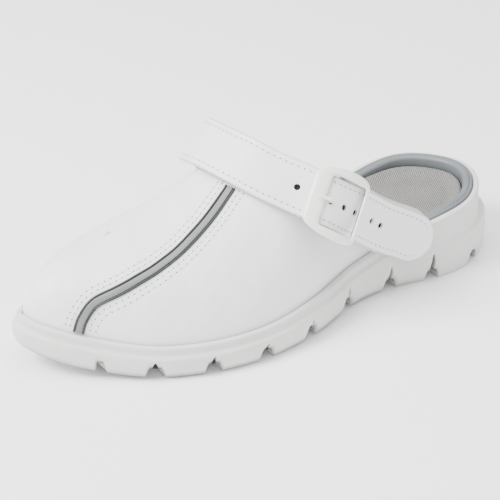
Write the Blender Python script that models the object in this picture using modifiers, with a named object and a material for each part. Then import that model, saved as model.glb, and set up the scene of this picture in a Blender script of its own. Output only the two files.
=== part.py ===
"""Left clog: closed toe, open back, and a buckled heel strap worn forward over the instep.

Metres, +Z up. The toe points along -Y and the outer (lateral) side faces +X. The origin is on
the floor under the middle of the shoe. Stations are distances from the back of the heel.
"""

import math
from collections import namedtuple

import bmesh
import bpy
import numpy as np
from mathutils import Matrix, Vector

MM = 0.001

# Sole
LENGTH = 287 * MM
BALL_WIDTH = 108 * MM
LIP_HEIGHT = 41 * MM
FLOOR_HEIGHT = 30 * MM
TOE_SPRING = 13 * MM
ARCH_RISE = 1.2 * MM
HEEL_ROUND = 44 * MM
TOE_ROUND = 62 * MM
TREAD_CHAMFER = 4.5 * MM
TREAD_INSET = 3.2 * MM
STEP_DROP = 5.5 * MM
STEP_DEPTH = 1.3 * MM
HEEL_LEDGE_DEPTH = 3.6 * MM
LIP_WIDTH = 3.2 * MM
WALL_ROUND = 0.6 * MM
LIP_ROUND = 1 * MM
HEEL_STEP_DROP = 18 * MM
FLOOR_MARGIN = 8 * MM
NOTCH_WIDTH = 9.5 * MM
NOTCH_DEPTH = 5 * MM
CREASE_HEIGHT = 12 * MM
CREASE_DEPTH = 3 * MM
CREASE_TIP = 0.8 * MM

# Upper
INSTEP_HEIGHT = 92 * MM
LEATHER = 2.2 * MM
CLEARANCE = 0.3 * MM
EAR_RADIUS = 9 * MM
TAIL_ALONG = 60 * MM
SPINE_BEND = 180 * MM
SPINE_END = 229 * MM
EAR_BORE = 5 * MM
EAR_LEAN = 0.6 * MM
STRIPE_WIDTH = 6 * MM
STRIPE_THICKNESS = 0.7 * MM
PIPING_WIDTH = 1.2 * MM

# Footbed and the padded rim round the heel
INSOLE_THICKNESS = 4.5 * MM
INSOLE_DISH = 2.5 * MM
RIM_WIDTH = 5.6 * MM
RIM_RISE = 1.5 * MM
RIM_REACH = 66 * MM

# Strap, buckle and rivets
STRAP_WIDTH = 27 * MM
STRAP_THICKNESS = 2.2 * MM
TAB_WIDTH = 29 * MM
TAB_THICKNESS = 1.8 * MM
TAB_GAP = 1.6 * MM
TAB_SETBACK = 1.5 * MM
TAB_FOLD = 0.4 * MM
HOLE_DIAMETER = 3.4 * MM
HOLE_PITCH = 9.3 * MM
PIVOT_RISE = 5.2 * MM
RIVET_DIAMETER = 4 * MM
RIVET_HEAD = 10 * MM
RIVET_HEAD_THICKNESS = 1 * MM
BUCKLE_LENGTH = 32.5 * MM
BUCKLE_BULGE = 2.8 * MM
BUCKLE_FLARE = 1.1 * MM
BUCKLE_THICKNESS = 2.6 * MM
BUCKLE_BACK_BAR = 8.4 * MM
BUCKLE_FRONT_BAR = 2.4 * MM
CENTRE_BAR = 2.6 * MM
PRONG_WIDTH = 2.6 * MM
LOOP_RADIUS = 3.3 * MM
LOOP_WIDTH = 26 * MM
BUCKLE_SEAT = 0.3 * MM
BUCKLE_ARCH = 3 * MM
BUCKLE_ARM = 1.9 * MM

# Section table. Shares: along of LENGTH; lateral, medial and crest of BALL_WIDTH; lip of
# LIP_HEIGHT; floor of FLOOR_HEIGHT; crown of INSTEP_HEIGHT; spring of TOE_SPRING.
# full is the superellipse power of the upper's section.
Section = namedtuple("Section", "along lateral medial crest lip floor crown full spring")
SECTIONS = (
    Section(0.00, 0.310, 0.400, -0.05, 1.00, 1.00, 0.80, 2.0, 0.00),
    Section(0.10, 0.312, 0.400, -0.05, 0.97, 0.97, 0.86, 2.0, 0.00),
    Section(0.18, 0.320, 0.402, -0.06, 0.90, 0.93, 0.94, 2.0, 0.00),
    Section(0.27, 0.292, 0.388, -0.06, 0.74, 0.82, 1.02, 2.0, 0.00),
    Section(0.37, 0.325, 0.372, -0.07, 0.59, 0.68, 1.08, 2.0, 0.00),
    Section(0.48, 0.445, 0.390, -0.09, 0.53, 0.60, 1.04, 1.9, 0.00),
    Section(0.60, 0.505, 0.450, -0.11, 0.45, 0.50, 0.88, 1.85, 0.00),
    Section(0.71, 0.480, 0.490, -0.12, 0.43, 0.47, 0.73, 2.0, 0.02),
    Section(0.82, 0.375, 0.475, -0.12, 0.45, 0.49, 0.63, 2.4, 0.09),
    Section(0.91, 0.270, 0.410, -0.11, 0.56, 0.60, 0.60, 2.9, 0.38),
    Section(1.00, 0.215, 0.290, -0.10, 0.74, 0.82, 0.58, 3.2, 1.00),
)
# Cross grooves of the tread, as shares of LENGTH
NOTCHES = (0.083, 0.195, 0.286, 0.396, 0.506, 0.612, 0.718, 0.817, 0.898)

# Side view of the collar. Shares: along of LENGTH, height of INSTEP_HEIGHT.
Collar = namedtuple("Collar", "along height")
COLLAR = (
    Collar(0.700, 1.130),
    Collar(0.640, 0.975),
    Collar(0.605, 0.905),
    Collar(0.550, 0.825),
    Collar(0.500, 0.725),
    Collar(0.450, 0.625),
    Collar(0.400, 0.520),
    Collar(0.365, 0.440),
    Collar(0.340, 0.400),
)
# Middle line of the strap's outer face, from the inner pivot over the instep to the free tip.
# Shares: across of BALL_WIDTH, along of LENGTH, above of INSTEP_HEIGHT, from PIVOT_RISE over
# the lip. turn and tilt give the face's direction in degrees: turn from +X towards the toe,
# tilt upward.
StrapPoint = namedtuple("StrapPoint", "across along above turn tilt")
STRAP = (
    StrapPoint(-0.425, 0.284, -0.101, 184, 2),
    StrapPoint(-0.425, 0.330, 0.017, 183, 3),
    StrapPoint(-0.445, 0.405, 0.157, 182, 8),
    StrapPoint(-0.458, 0.467, 0.286, 177, 11),
    StrapPoint(-0.463, 0.506, 0.484, 170, 30),
    StrapPoint(-0.363, 0.566, 0.660, 121, 40),
    StrapPoint(-0.135, 0.579, 0.735, 82, 55),
    StrapPoint(0.056, 0.559, 0.710, 67, 49),
    StrapPoint(0.171, 0.531, 0.648, 55, 47),
    StrapPoint(0.273, 0.497, 0.582, 45, 41),
    StrapPoint(0.332, 0.479, 0.550, 30, 37),
    StrapPoint(0.394, 0.462, 0.523, 13, 34),
    StrapPoint(0.411, 0.437, 0.465, -1, 24),
    StrapPoint(0.405, 0.410, 0.398, -8, 11),
    StrapPoint(0.361, 0.360, 0.259, -13, 0),
    StrapPoint(0.343, 0.335, 0.182, -14, -1),
    StrapPoint(0.341, 0.304, 0.095, -10, 0),
    StrapPoint(0.343, 0.268, 0.000, -5, -1),
    StrapPoint(0.360, 0.220, -0.151, -2, 0),
)
# Row of STRAP with the first punched hole, the holes as pitches from it, and the prong's hole
FIRST_HOLE_ROW = 9
HOLES = (0, 1, 2, 3, 4, 6, 7)
PRONG_HOLE_COUNT = 2
# Rows of STRAP at the rivets
INNER_PIVOT = STRAP[1]
OUTER_PIVOT = STRAP[17]

OUTLINE_POINTS = 96
UPPER_COLUMNS = 68
UPPER_ROWS = 13
STRIPE_STEPS = 28
STRAP_STEP = 5 * MM
BUCKLE_POINTS = 64
RIVET_STEPS = 16


def spline(xs, ys, x):
    """Smooth curve through the points, with each slope taken from the neighbours."""
    xs, ys = np.asarray(xs, float), np.asarray(ys, float)
    x = np.clip(x, xs[0], xs[-1])
    slopes = np.gradient(ys, xs)
    i = np.clip(np.searchsorted(xs, x) - 1, 0, len(xs) - 2)
    h = xs[i + 1] - xs[i]
    t = (x - xs[i]) / h
    return (
        (2 * t**3 - 3 * t**2 + 1) * ys[i]
        + (t**3 - 2 * t**2 + t) * h * slopes[i]
        + (-2 * t**3 + 3 * t**2) * ys[i + 1]
        + (t**3 - t**2) * h * slopes[i + 1]
    )


def column(name, along):
    """A column of the section table at stations from the heel."""
    return spline([row.along for row in SECTIONS], [getattr(row, name) for row in SECTIONS], along / LENGTH)


def smoothstep(low, high, x):
    t = np.clip((x - low) / (high - low), 0, 1)
    return t * t * (3 - 2 * t)


def end_round(distance, radius, power):
    """0 at an end and 1 past the radius, as a quarter of a superellipse."""
    t = 1 - np.clip(distance / radius, 0, 1)
    return (1 - t**power) ** (1 / power)


def outline(along, lateral_side):
    """Widest outline of the sole from above; lateral_side says which side each point is on."""
    ends = end_round(along, HEEL_ROUND, 2.0) * end_round(LENGTH - along, TOE_ROUND, 2.1)
    half = np.where(lateral_side, column("lateral", along), -column("medial", along))
    x = (half * ends + column("crest", along) * (1 - ends)) * BALL_WIDTH
    return np.stack([x, LENGTH / 2 - along], axis=1)


def inset(points, distance, closed):
    """Move a plan curve inward; it runs up the outer side to the toe and back along the inner."""
    if closed:
        run = np.roll(points, -1, axis=0) - np.roll(points, 1, axis=0)
    else:
        run = np.gradient(points, axis=0)
    run = run / np.linalg.norm(run, axis=1, keepdims=True)
    inward = np.stack([run[:, 1], -run[:, 0]], axis=1)
    return points + inward * np.reshape(distance, (-1, 1))


def faired(points):
    """Closed ring with each point moved halfway to the middle of its neighbours."""
    return (np.roll(points, 1, axis=0) + 2 * points + np.roll(points, -1, axis=0)) / 4


def toward_middle(points, along, distance):
    """Move points over the floor towards the line that joins the centres of the two end rounds."""
    far = np.clip(along, HEEL_ROUND, LENGTH - TOE_ROUND)
    middle = np.column_stack([column("crest", far) * BALL_WIDTH, LENGTH / 2 - far])
    away = middle - points
    return points + away / np.linalg.norm(away, axis=1, keepdims=True) * distance


def station(points):
    return LENGTH / 2 - points[:, 1]


def full_outline():
    turn = np.arange(OUTLINE_POINTS) / OUTLINE_POINTS
    along = LENGTH * (1 - np.cos(2 * math.pi * turn)) / 2
    return outline(along, turn <= 0.5), along


def tread(along):
    arch = smoothstep(0.24, 0.36, along / LENGTH) * (1 - smoothstep(0.44, 0.6, along / LENGTH))
    return column("spring", along) * TOE_SPRING + ARCH_RISE * arch


def lip(along):
    return column("lip", along) * LIP_HEIGHT


def floor(along):
    return column("floor", along) * FLOOR_HEIGHT


def ring(plan, height):
    return np.column_stack([plan, height])


PARTS = "Clog"
CUTTERS = "Cutters"

# Colours: name, RGB, roughness
Finish = namedtuple("Finish", "name rgb roughness")
WHITE_LEATHER = Finish("white_leather", (0.90, 0.905, 0.90), 0.42)
WHITE_SOLE = Finish("white_sole", (0.84, 0.84, 0.82), 0.5)
GREY_RIM = Finish("grey_rim", (0.36, 0.41, 0.42), 0.55)
WOVEN_BED = Finish("woven_bed", (0.62, 0.61, 0.57), 0.85)
GREY_STRIPE = Finish("grey_stripe", (0.45, 0.47, 0.45), 0.35)
DARK_PIPING = Finish("dark_piping", (0.04, 0.05, 0.05), 0.5)
IVORY_PLASTIC = Finish("ivory_plastic", (0.90, 0.89, 0.84), 0.3)


def collection(name):
    group = bpy.data.collections.get(name)
    if group is None:
        group = bpy.data.collections.new(name)
        bpy.context.scene.collection.children.link(group)
    return group


def material(finish):
    found = bpy.data.materials.get(finish.name)
    if found:
        return found
    made = bpy.data.materials.new(finish.name)
    made.use_nodes = True
    shader = made.node_tree.nodes["Principled BSDF"]
    shader.inputs["Base Color"].default_value = (*finish.rgb, 1)
    shader.inputs["Roughness"].default_value = finish.roughness
    shader.inputs["Metallic"].default_value = 0
    return made


def add_object(name, mesh, group, finish=None):
    thing = bpy.data.objects.new(name, mesh)
    collection(group).objects.link(thing)
    if finish:
        mesh.materials.append(material(finish))
        mesh.shade_smooth()
        mesh.set_sharp_from_angle(angle=math.radians(35))
    return thing


def make_mesh(name, vertices, faces, closed=True):
    """Mesh from points and faces, welded where points meet; closed ones face outward."""
    mesh = bpy.data.meshes.new(name)
    mesh.from_pydata([tuple(v) for v in vertices], [], faces)
    bm = bmesh.new()
    bm.from_mesh(mesh)
    bmesh.ops.remove_doubles(bm, verts=bm.verts, dist=1e-6)
    if closed:
        bmesh.ops.recalc_face_normals(bm, faces=bm.faces)
    bm.to_mesh(mesh)
    bm.free()
    return mesh


def stacked_mesh(name, rings):
    """Closed body of stacked outline rings; each end is closed by strips across the shoe."""
    count = len(rings[0])
    faces = []
    for level in range(len(rings) - 1):
        low, high = level * count, (level + 1) * count
        for i in range(count):
            j = (i + 1) % count
            faces.append((low + i, low + j, high + j, high + i))
    for first in (0, (len(rings) - 1) * count):
        for i in range(count // 2):
            corners = [i, i + 1, (count - i - 1) % count, (count - i) % count]
            faces.append(tuple(first + c for c in dict.fromkeys(corners)))
    return make_mesh(name, np.concatenate(rings), faces)


def tube_mesh(name, sections):
    """Closed body lofted through sections of equal point count."""
    count = len(sections[0])
    faces = []
    for level in range(len(sections) - 1):
        low, high = level * count, (level + 1) * count
        for i in range(count):
            j = (i + 1) % count
            faces.append((low + i, low + j, high + j, high + i))
    last = (len(sections) - 1) * count
    faces.append(tuple(range(count)))
    faces.append(tuple(last + i for i in range(count)))
    return make_mesh(name, np.concatenate(sections), faces)


def cutter(name, mesh):
    thing = add_object(name, mesh, CUTTERS)
    thing.hide_render = True
    thing.display_type = "WIRE"
    return thing


def cut(thing, tool):
    step = thing.modifiers.new(tool.name, "BOOLEAN")
    step.operation = "DIFFERENCE"
    step.solver = "EXACT"
    step.object = tool


def side_profile_mesh(name, profiles):
    """Bodies with a side view of (station, height) points, each between two values of x."""
    vertices, faces = [], []
    for points, left, right in profiles:
        start, n = len(vertices), len(points)
        for x in (left, right):
            vertices += [(x, LENGTH / 2 - along, z) for along, z in points]
        faces.append(tuple(start + i for i in range(n)))
        faces.append(tuple(start + n + i for i in range(n)))
        for i in range(n):
            j = (i + 1) % n
            faces.append((start + i, start + j, start + n + j, start + n + i))
    return make_mesh(name, vertices, faces)


def step_depth(along):
    """Depth of the step in the side wall: a ledge round the back of the heel, none at its sides."""
    back = 1 - smoothstep(0.01, 0.12, along / LENGTH)
    front = smoothstep(0.22, 0.4, along / LENGTH)
    return HEEL_LEDGE_DEPTH * back + STEP_DEPTH * front


def seat_inset(along):
    """Inset of the inner face of the sole's lip."""
    return 2 * WALL_ROUND + step_depth(along) + LIP_WIDTH


def sole():
    plan, along = full_outline()
    heel = 1 - smoothstep(0.15, 0.3, along / LENGTH)
    drop = STEP_DROP + (HEEL_STEP_DROP - STEP_DROP) * heel
    chamfer = TREAD_INSET * (1 - 0.35 * heel)
    shoulder = 2 * WALL_ROUND + step_depth(along)
    inner = seat_inset(along)

    def level(distance, height):
        moved = inset(plan, distance, closed=True)
        return ring(moved, height(station(moved)))

    rings = [
        level(chamfer, tread),
        level(WALL_ROUND, lambda s: tread(s) + TREAD_CHAMFER),
        level(0.0, lambda s: 0.5 * (tread(s) + TREAD_CHAMFER + lip(s) - drop)),
        level(WALL_ROUND, lambda s: lip(s) - drop),
        level(WALL_ROUND + step_depth(along), lambda s: lip(s) - drop + STEP_DEPTH),
        level(shoulder, lambda s: lip(s) - LIP_ROUND),
        level(shoulder + LIP_ROUND, lip),
        level(inner - WALL_ROUND, lip),
        level(inner, lambda s: lip(s) - WALL_ROUND),
        level(inner, floor),
        level(inner + FLOOR_MARGIN, floor),
    ]
    body = add_object("sole", stacked_mesh("sole", rings), PARTS, WHITE_SOLE)
    cut(body, tread_grooves())
    cut(body, side_creases())
    return body


def tread_grooves():
    """Cross grooves between the lugs."""
    profiles = []
    for share in NOTCHES:
        mid, base = share * LENGTH, float(tread(np.array([share * LENGTH]))[0])
        wide, narrow = NOTCH_WIDTH / 2, NOTCH_WIDTH / 4
        if share == NOTCHES[-1]:
            wide, narrow = wide / 2, narrow / 2
        points = [
            (mid - wide * 1.1, base - STEP_DEPTH),
            (mid + wide * 1.1, base - STEP_DEPTH),
            (mid + narrow, base + NOTCH_DEPTH),
            (mid - narrow, base + NOTCH_DEPTH),
        ]
        profiles.append((points, -BALL_WIDTH, BALL_WIDTH))
    return cutter("tread_grooves", side_profile_mesh("tread_grooves", profiles))


def side_creases():
    """The grooves run on up the side wall as narrow wedges."""
    profiles = []
    for share in NOTCHES[:-1]:
        mid = np.array([share * LENGTH])
        base = float(tread(mid)[0])
        outer = outline(mid, np.array([True]))[0][0]
        inner = outline(mid, np.array([False]))[0][0]
        centre = float(mid[0])
        points = [
            (centre - NOTCH_WIDTH / 4, base + NOTCH_DEPTH / 2),
            (centre + NOTCH_WIDTH / 4, base + NOTCH_DEPTH / 2),
            (centre + CREASE_TIP / 2, base + CREASE_HEIGHT),
            (centre - CREASE_TIP / 2, base + CREASE_HEIGHT),
        ]
        profiles.append((points, outer - CREASE_DEPTH, outer + CREASE_DEPTH * 2))
        profiles.append((points, inner - CREASE_DEPTH * 2, inner + CREASE_DEPTH))
    return cutter("side_creases", side_profile_mesh("side_creases", profiles))


def foot_line(u):
    """Outline point, inward direction and station; u runs 0 to 1 from the outer tail round the toe."""
    def point(v):
        along = TAIL_ALONG + (LENGTH - TAIL_ALONG) * np.sin(math.pi * v)
        return outline(along, v < 0.5), along

    small = 1e-3
    here, along = point(u)
    run = point(np.clip(u + small, 0, 1))[0] - point(np.clip(u - small, 0, 1))[0]
    run = run / np.linalg.norm(run, axis=-1, keepdims=True)
    return here, np.stack([run[:, 1], -run[:, 0]], axis=1), along


def spine_station(along):
    """The top line's station for a foot station: the same on the instep, drawn back at the toe."""
    reach = (LENGTH - SPINE_BEND) / (SPINE_END - SPINE_BEND)
    q = np.clip((along - SPINE_BEND) / (LENGTH - SPINE_BEND), 0, 1)
    drawn_back = SPINE_BEND + (SPINE_END - SPINE_BEND) * (1 - (1 - q) ** reach)
    return np.where(along < SPINE_BEND, along, drawn_back)


def upper_surface(u, w):
    """Outer face of the upper: u round the foot line, w from 0 at the sole to 1 on the top line."""
    here, inward, along = foot_line(u)
    foot = here + inward * (seat_inset(along) + CLEARANCE)[:, None]
    back = spine_station(along)
    top = np.stack([column("crest", back) * BALL_WIDTH, LENGTH / 2 - back], axis=1)
    power = 2 / column("full", along)
    across = 1 - np.abs(np.cos(w * math.pi / 2)) ** power
    rise = np.abs(np.sin(w * math.pi / 2)) ** power
    plan = foot + (top - foot) * across[:, None]
    low = floor(station(foot)) + CLEARANCE
    high = column("crown", station(plan)) * INSTEP_HEIGHT
    return np.column_stack([plan, low + (high - low) * rise])


def upper_normal(u, w):
    """Outward direction of the upper's face, from small steps both ways."""
    small = 2e-3
    du = upper_surface(np.clip(u + small, 0, 1), w) - upper_surface(np.clip(u - small, 0, 1), w)
    dw = upper_surface(u, np.clip(w + small, 0, 1)) - upper_surface(u, np.clip(w - small, 0, 1))
    normal = np.cross(dw, du)
    return normal / np.linalg.norm(normal, axis=1, keepdims=True)


def upper(route):
    columns, rows = UPPER_COLUMNS + 1, UPPER_ROWS + 1
    u, w = np.meshgrid(np.linspace(0, 1, columns), np.linspace(0, 1, rows), indexing="ij")
    points = upper_surface(u.ravel(), w.ravel())
    faces = []
    for i in range(columns - 1):
        for j in range(rows - 1):
            a, b = i * rows + j, (i + 1) * rows + j
            faces.append((a, a + 1, b + 1, b))
    body = add_object("upper", make_mesh("upper", points, faces, closed=False), PARTS, WHITE_LEATHER)
    wall = body.modifiers.new("wall", "SOLIDIFY")
    wall.thickness = LEATHER
    wall.offset = -1
    wall.use_even_offset = True
    cut(body, collar_cut("collar_inner", INNER_PIVOT, -BALL_WIDTH, LEATHER))
    cut(body, collar_cut("collar_outer", OUTER_PIVOT, -LEATHER, BALL_WIDTH))
    cut(body, ear_bores(route))
    return body


def strap_height(along, above):
    """Height of the strap's middle line at a station, from its share of INSTEP_HEIGHT."""
    return lip(along) + PIVOT_RISE + above * INSTEP_HEIGHT


def pivot(row):
    """Station and height of a rivet."""
    along = row.along * LENGTH
    return along, float(strap_height(along, row.above))


def collar_cut(name, row, left, right):
    """Everything above the collar and behind the rounded ear at that row, between two values of x."""
    along, height = pivot(row)
    edge = [(point.along * LENGTH, point.height * INSTEP_HEIGHT) for point in COLLAR]
    edge = [spot for spot in edge if spot[0] > along + EAR_RADIUS]
    for angle in np.radians(np.linspace(15, 180, 12)):
        edge.append((along + EAR_RADIUS * math.cos(angle), height + EAR_RADIUS * math.sin(angle)))
    above = 2 * INSTEP_HEIGHT
    profile = edge + [(along - EAR_RADIUS, 0), (0, 0), (0, above), (edge[0][0], above)]
    return cutter(name, side_profile_mesh(name, [(profile, left, right)]))


def ear_bores(route):
    """Rivet holes through the two ears, in line with the rivets."""
    spots = []
    for row in (INNER_PIVOT, OUTER_PIVOT):
        spot, _, _, face = (v[0] for v in route.frame(route.row_run[STRAP.index(row)]))
        spots.append((spot, face, EAR_BORE / 2, BALL_WIDTH / 2))
    return punched("ear_bores", spots)


def rivet_relief(plan, along):
    """Extra inset of the insole's edge beside the rivets' inner heads."""
    depth = EAR_LEAN + RIVET_HEAD_THICKNESS
    middle = column("crest", along) * BALL_WIDTH
    relief = np.zeros(len(along))
    for row in (INNER_PIVOT, OUTER_PIVOT):
        same_side = (plan[:, 0] - middle) * row.across > 0
        near = 1 - smoothstep(RIVET_HEAD, 2.5 * RIVET_HEAD, np.abs(along - pivot(row)[0]))
        relief += depth * near * same_side
    return relief


def insole():
    plan, along = full_outline()
    behind = 1 - smoothstep(RIM_REACH / LENGTH, RIM_REACH / LENGTH + 0.1, along / LENGTH)
    beside_upper = CLEARANCE + LEATHER + 2 * CLEARANCE
    beside_rim = CLEARANCE + RIM_WIDTH + 2 * CLEARANCE
    edge = seat_inset(along) + beside_upper + (beside_rim - beside_upper) * behind
    edge += rivet_relief(plan, along)
    dish = INSOLE_DISH * (1 - smoothstep(0.25, 0.5, along / LENGTH))

    side = faired(inset(plan, edge, closed=True))

    def level(distance, lift):
        moved = toward_middle(side, along, distance)
        return ring(moved, floor(station(moved)) + lift)

    rings = [
        level(0, CLEARANCE),
        level(0, INSOLE_THICKNESS - WALL_ROUND + dish),
        level(WALL_ROUND, INSOLE_THICKNESS + dish),
        level(0.5 * FLOOR_MARGIN, INSOLE_THICKNESS + 0.35 * dish),
        level(FLOOR_MARGIN, INSOLE_THICKNESS),
    ]
    return add_object("insole", stacked_mesh("insole", rings), PARTS, WOVEN_BED)


# Section of the padded rim. Shares: inward of RIM_WIDTH, up of its height over the lip.
RimPoint = namedtuple("RimPoint", "inward up")
RIM_TOP = (
    RimPoint(0.00, 0.15),
    RimPoint(0.08, 0.62),
    RimPoint(0.28, 0.92),
    RimPoint(0.52, 1.00),
    RimPoint(0.78, 0.80),
    RimPoint(0.95, 0.35),
    RimPoint(1.00, -0.30),
)


def heel_rim():
    u = np.linspace(-1, 1, 49)
    along = RIM_REACH * (1 - np.cos(math.pi * np.abs(u) / 2))
    plan = outline(along, u > 0)
    lines = []
    for share, lift in [(0, None)] + [(row.inward, row.up) for row in RIM_TOP] + [(1, None)]:
        moved = inset(plan, seat_inset(along) + CLEARANCE + share * RIM_WIDTH, closed=False)
        low = floor(along) + CLEARANCE
        high = lip(along) + (lift or 0) * RIM_RISE
        lines.append(ring(moved, low if lift is None else high))
    sections = np.stack(lines, axis=1)
    return add_object("heel_rim", tube_mesh("heel_rim", list(sections)), PARTS, GREY_RIM)


class Route:
    """The strap's middle line with the face direction at each length along it."""

    def __init__(self):
        rows = np.array([tuple(row) for row in STRAP])
        heights = strap_height(rows[:, 1] * LENGTH, rows[:, 2])
        spot = np.column_stack(
            [rows[:, 0] * BALL_WIDTH, LENGTH / 2 - rows[:, 1] * LENGTH, heights]
        )
        chord = np.concatenate([[0], np.cumsum(np.linalg.norm(np.diff(spot, axis=0), axis=1))])
        fine = np.linspace(0, chord[-1], 1200)
        self.spot = np.column_stack([spline(chord, spot[:, k], fine) for k in range(3)])
        self.turn = np.radians(spline(chord, rows[:, 3], fine))
        self.tilt = np.radians(spline(chord, rows[:, 4], fine))
        self.run = np.concatenate([[0], np.cumsum(np.linalg.norm(np.diff(self.spot, axis=0), axis=1))])
        self.length = self.run[-1]
        self.row_run = np.interp(chord, fine, self.run)

    def frame(self, s):
        """Middle point of the outer face, direction of travel, edgeward direction, face direction."""
        s = np.atleast_1d(np.asarray(s, float))

        def at(values, where):
            return np.column_stack([np.interp(where, self.run, values[:, k]) for k in range(3)])

        step = STRAP_STEP / 10
        ahead, behind = np.clip(s + step, 0, self.length), np.clip(s - step, 0, self.length)
        tangent = at(self.spot, ahead) - at(self.spot, behind)
        tangent /= np.linalg.norm(tangent, axis=1, keepdims=True)
        turn, tilt = np.interp(s, self.run, self.turn), np.interp(s, self.run, self.tilt)
        face = np.column_stack([np.cos(tilt) * np.cos(turn), -np.cos(tilt) * np.sin(turn), np.sin(tilt)])
        face -= tangent * np.sum(face * tangent, axis=1, keepdims=True)
        face /= np.linalg.norm(face, axis=1, keepdims=True)
        return at(self.spot, s), tangent, np.cross(tangent, face), face

    def hole(self, index):
        return self.row_run[FIRST_HOLE_ROW] + index * HOLE_PITCH


def band_sections(route, stations, half_width, outer, inner):
    """Rectangles across the strap's route; outer and inner are depths below the strap's face."""
    spot, _, edge, face = route.frame(stations)
    half, outer, inner = (np.broadcast_to(v, stations.shape)[:, None] for v in (half_width, outer, inner))
    corners = [
        spot + edge * half - face * outer,
        spot - edge * half - face * outer,
        spot - edge * half - face * inner,
        spot + edge * half - face * inner,
    ]
    return list(np.stack(corners, axis=1))


def band_stations(start, end, radius, rounded_start, rounded_end):
    """Lengths along a band, close together in its rounded ends, and the share of full width there."""
    arc = 1 - np.cos(np.linspace(0.12, 1, 8) * math.pi / 2)
    first = start + radius * arc if rounded_start else np.array([start, start + radius])
    last = end - radius * arc[::-1] if rounded_end else np.array([end - radius, end])
    middle = np.linspace(first[-1], last[0], max(3, int((last[0] - first[-1]) / STRAP_STEP)))[1:-1]
    stations = np.concatenate([first, middle, last])
    share = np.ones(len(stations))
    if rounded_start:
        share *= end_round(stations - start, radius, 2.0)
    if rounded_end:
        share *= end_round(end - stations, radius, 2.0)
    return stations, share


def local_cylinder(bm, centre, axis, radius, depth, segments):
    """Capped cylinder centred on a point, along a direction."""
    turn = Vector(axis).to_track_quat("Z", "Y").to_matrix().to_4x4()
    bmesh.ops.create_cone(
        bm,
        cap_ends=True,
        segments=segments,
        radius1=radius,
        radius2=radius,
        depth=depth,
        matrix=Matrix.Translation(centre) @ turn,
    )


def punched(name, spots):
    """Cutter of round pins: each spot gives centre, axis, radius and depth."""
    mesh = bpy.data.meshes.new(name)
    bm = bmesh.new()
    for centre, axis, radius, depth in spots:
        local_cylinder(bm, centre, axis, radius, depth, 16)
    bm.to_mesh(mesh)
    bm.free()
    return cutter(name, mesh)


def strap(route):
    stations, share = band_stations(0, route.length, STRAP_WIDTH / 2, True, True)
    mesh = tube_mesh("strap", band_sections(route, stations, share * STRAP_WIDTH / 2, 0, STRAP_THICKNESS))
    body = add_object("strap", mesh, PARTS, WHITE_LEATHER)
    spots = []
    for place in HOLES:
        spot, _, _, face = route.frame(route.hole(place))
        spots.append((spot[0], face[0], HOLE_DIAMETER / 2, 4 * STRAP_THICKNESS))
    spot, _, _, face = route.frame(route.row_run[STRAP.index(INNER_PIVOT)])
    spots.append((spot[0], face[0], RIVET_DIAMETER / 2 + CLEARANCE, 4 * STRAP_THICKNESS))
    cut(body, punched("strap_holes", spots))
    return body


def bar_run(route):
    """Length along the route at the buckle's middle bar, half way past the prong's hole."""
    return route.hole(PRONG_HOLE_COUNT + 0.5)


def bar_depth():
    return STRAP_THICKNESS + CLEARANCE + LOOP_RADIUS


def strap_tab(route):
    """Short strap under the free end: looped round the middle bar, riveted at the outer pivot."""
    bar = bar_run(route)
    end = route.length - TAB_SETBACK
    loop = np.linspace(-0.98, 1, 13)
    stations, share = band_stations(bar + 2 * LOOP_RADIUS, end, TAB_WIDTH / 2, False, True)
    layer = STRAP_THICKNESS + TAB_GAP
    in_loop = LOOP_RADIUS * np.sqrt(np.maximum(1 - loop**2, 0))
    thick = np.maximum(in_loop, np.where(loop > 0, TAB_THICKNESS / 2, TAB_FOLD / 2))
    mid = bar_depth() + (layer + TAB_THICKNESS / 2 - bar_depth()) * smoothstep(0, 1, loop)
    loop_share = np.full(len(loop), LOOP_WIDTH / TAB_WIDTH)
    stations = np.concatenate([bar + loop * LOOP_RADIUS, stations])
    outer = np.concatenate([mid - thick, np.full(len(share), layer)])
    inner = np.concatenate([mid + thick, np.full(len(share), layer + TAB_THICKNESS)])
    width = np.concatenate([loop_share, share]) * TAB_WIDTH / 2
    mesh = tube_mesh("strap_tab", band_sections(route, stations, width, outer, inner))
    body = add_object("strap_tab", mesh, PARTS, WHITE_LEATHER)
    axes = BuckleFrame(route)
    centre = axes.place(0, 0, -bar_depth())
    cut(body, punched("tab_bar_bore", [(centre, axes.across, CENTRE_BAR / 2 + CLEARANCE, 2 * TAB_WIDTH)]))
    slot = (centre, axes.across, LOOP_RADIUS + 3 * CLEARANCE, PRONG_WIDTH + 2 * CLEARANCE)
    cut(body, punched("tab_prong_slot", [slot]))
    spot, _, _, face = (v[0] for v in route.frame(route.row_run[STRAP.index(OUTER_PIVOT)]))
    depth = 4 * (STRAP_THICKNESS + TAB_GAP + TAB_THICKNESS)
    cut(body, punched("tab_rivet_bore", [(spot, face, RIVET_DIAMETER / 2 + CLEARANCE, depth)]))
    return body


class BuckleFrame:
    """Local axes of the buckle: along the strap, across it, and out from its face."""

    def __init__(self, route):
        near = route.frame(route.hole(PRONG_HOLE_COUNT - 1))[0][0]
        far = route.frame(route.hole(PRONG_HOLE_COUNT + 2))[0][0]
        self.origin, _, edge, _ = (v[0] for v in route.frame(bar_run(route)))
        self.along = (far - near) / np.linalg.norm(far - near)
        across = -edge + self.along * np.dot(edge, self.along)
        self.across = across / np.linalg.norm(across)
        self.out = np.cross(self.along, self.across)

    def place(self, p, q, h):
        """World points from distances along, across and out."""
        p, q, h = (np.asarray(v, float)[..., None] for v in (p, q, h))
        return self.origin + p * self.along + q * self.across + h * self.out


def squarish(count, power):
    """Points round a square with rounded corners, from -1 to 1 each way."""
    turn = np.arange(count) / count * 2 * math.pi
    reach = (np.abs(np.cos(turn)) ** power + np.abs(np.sin(turn)) ** power) ** (-1 / power)
    return reach * np.cos(turn), reach * np.sin(turn)


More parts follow.
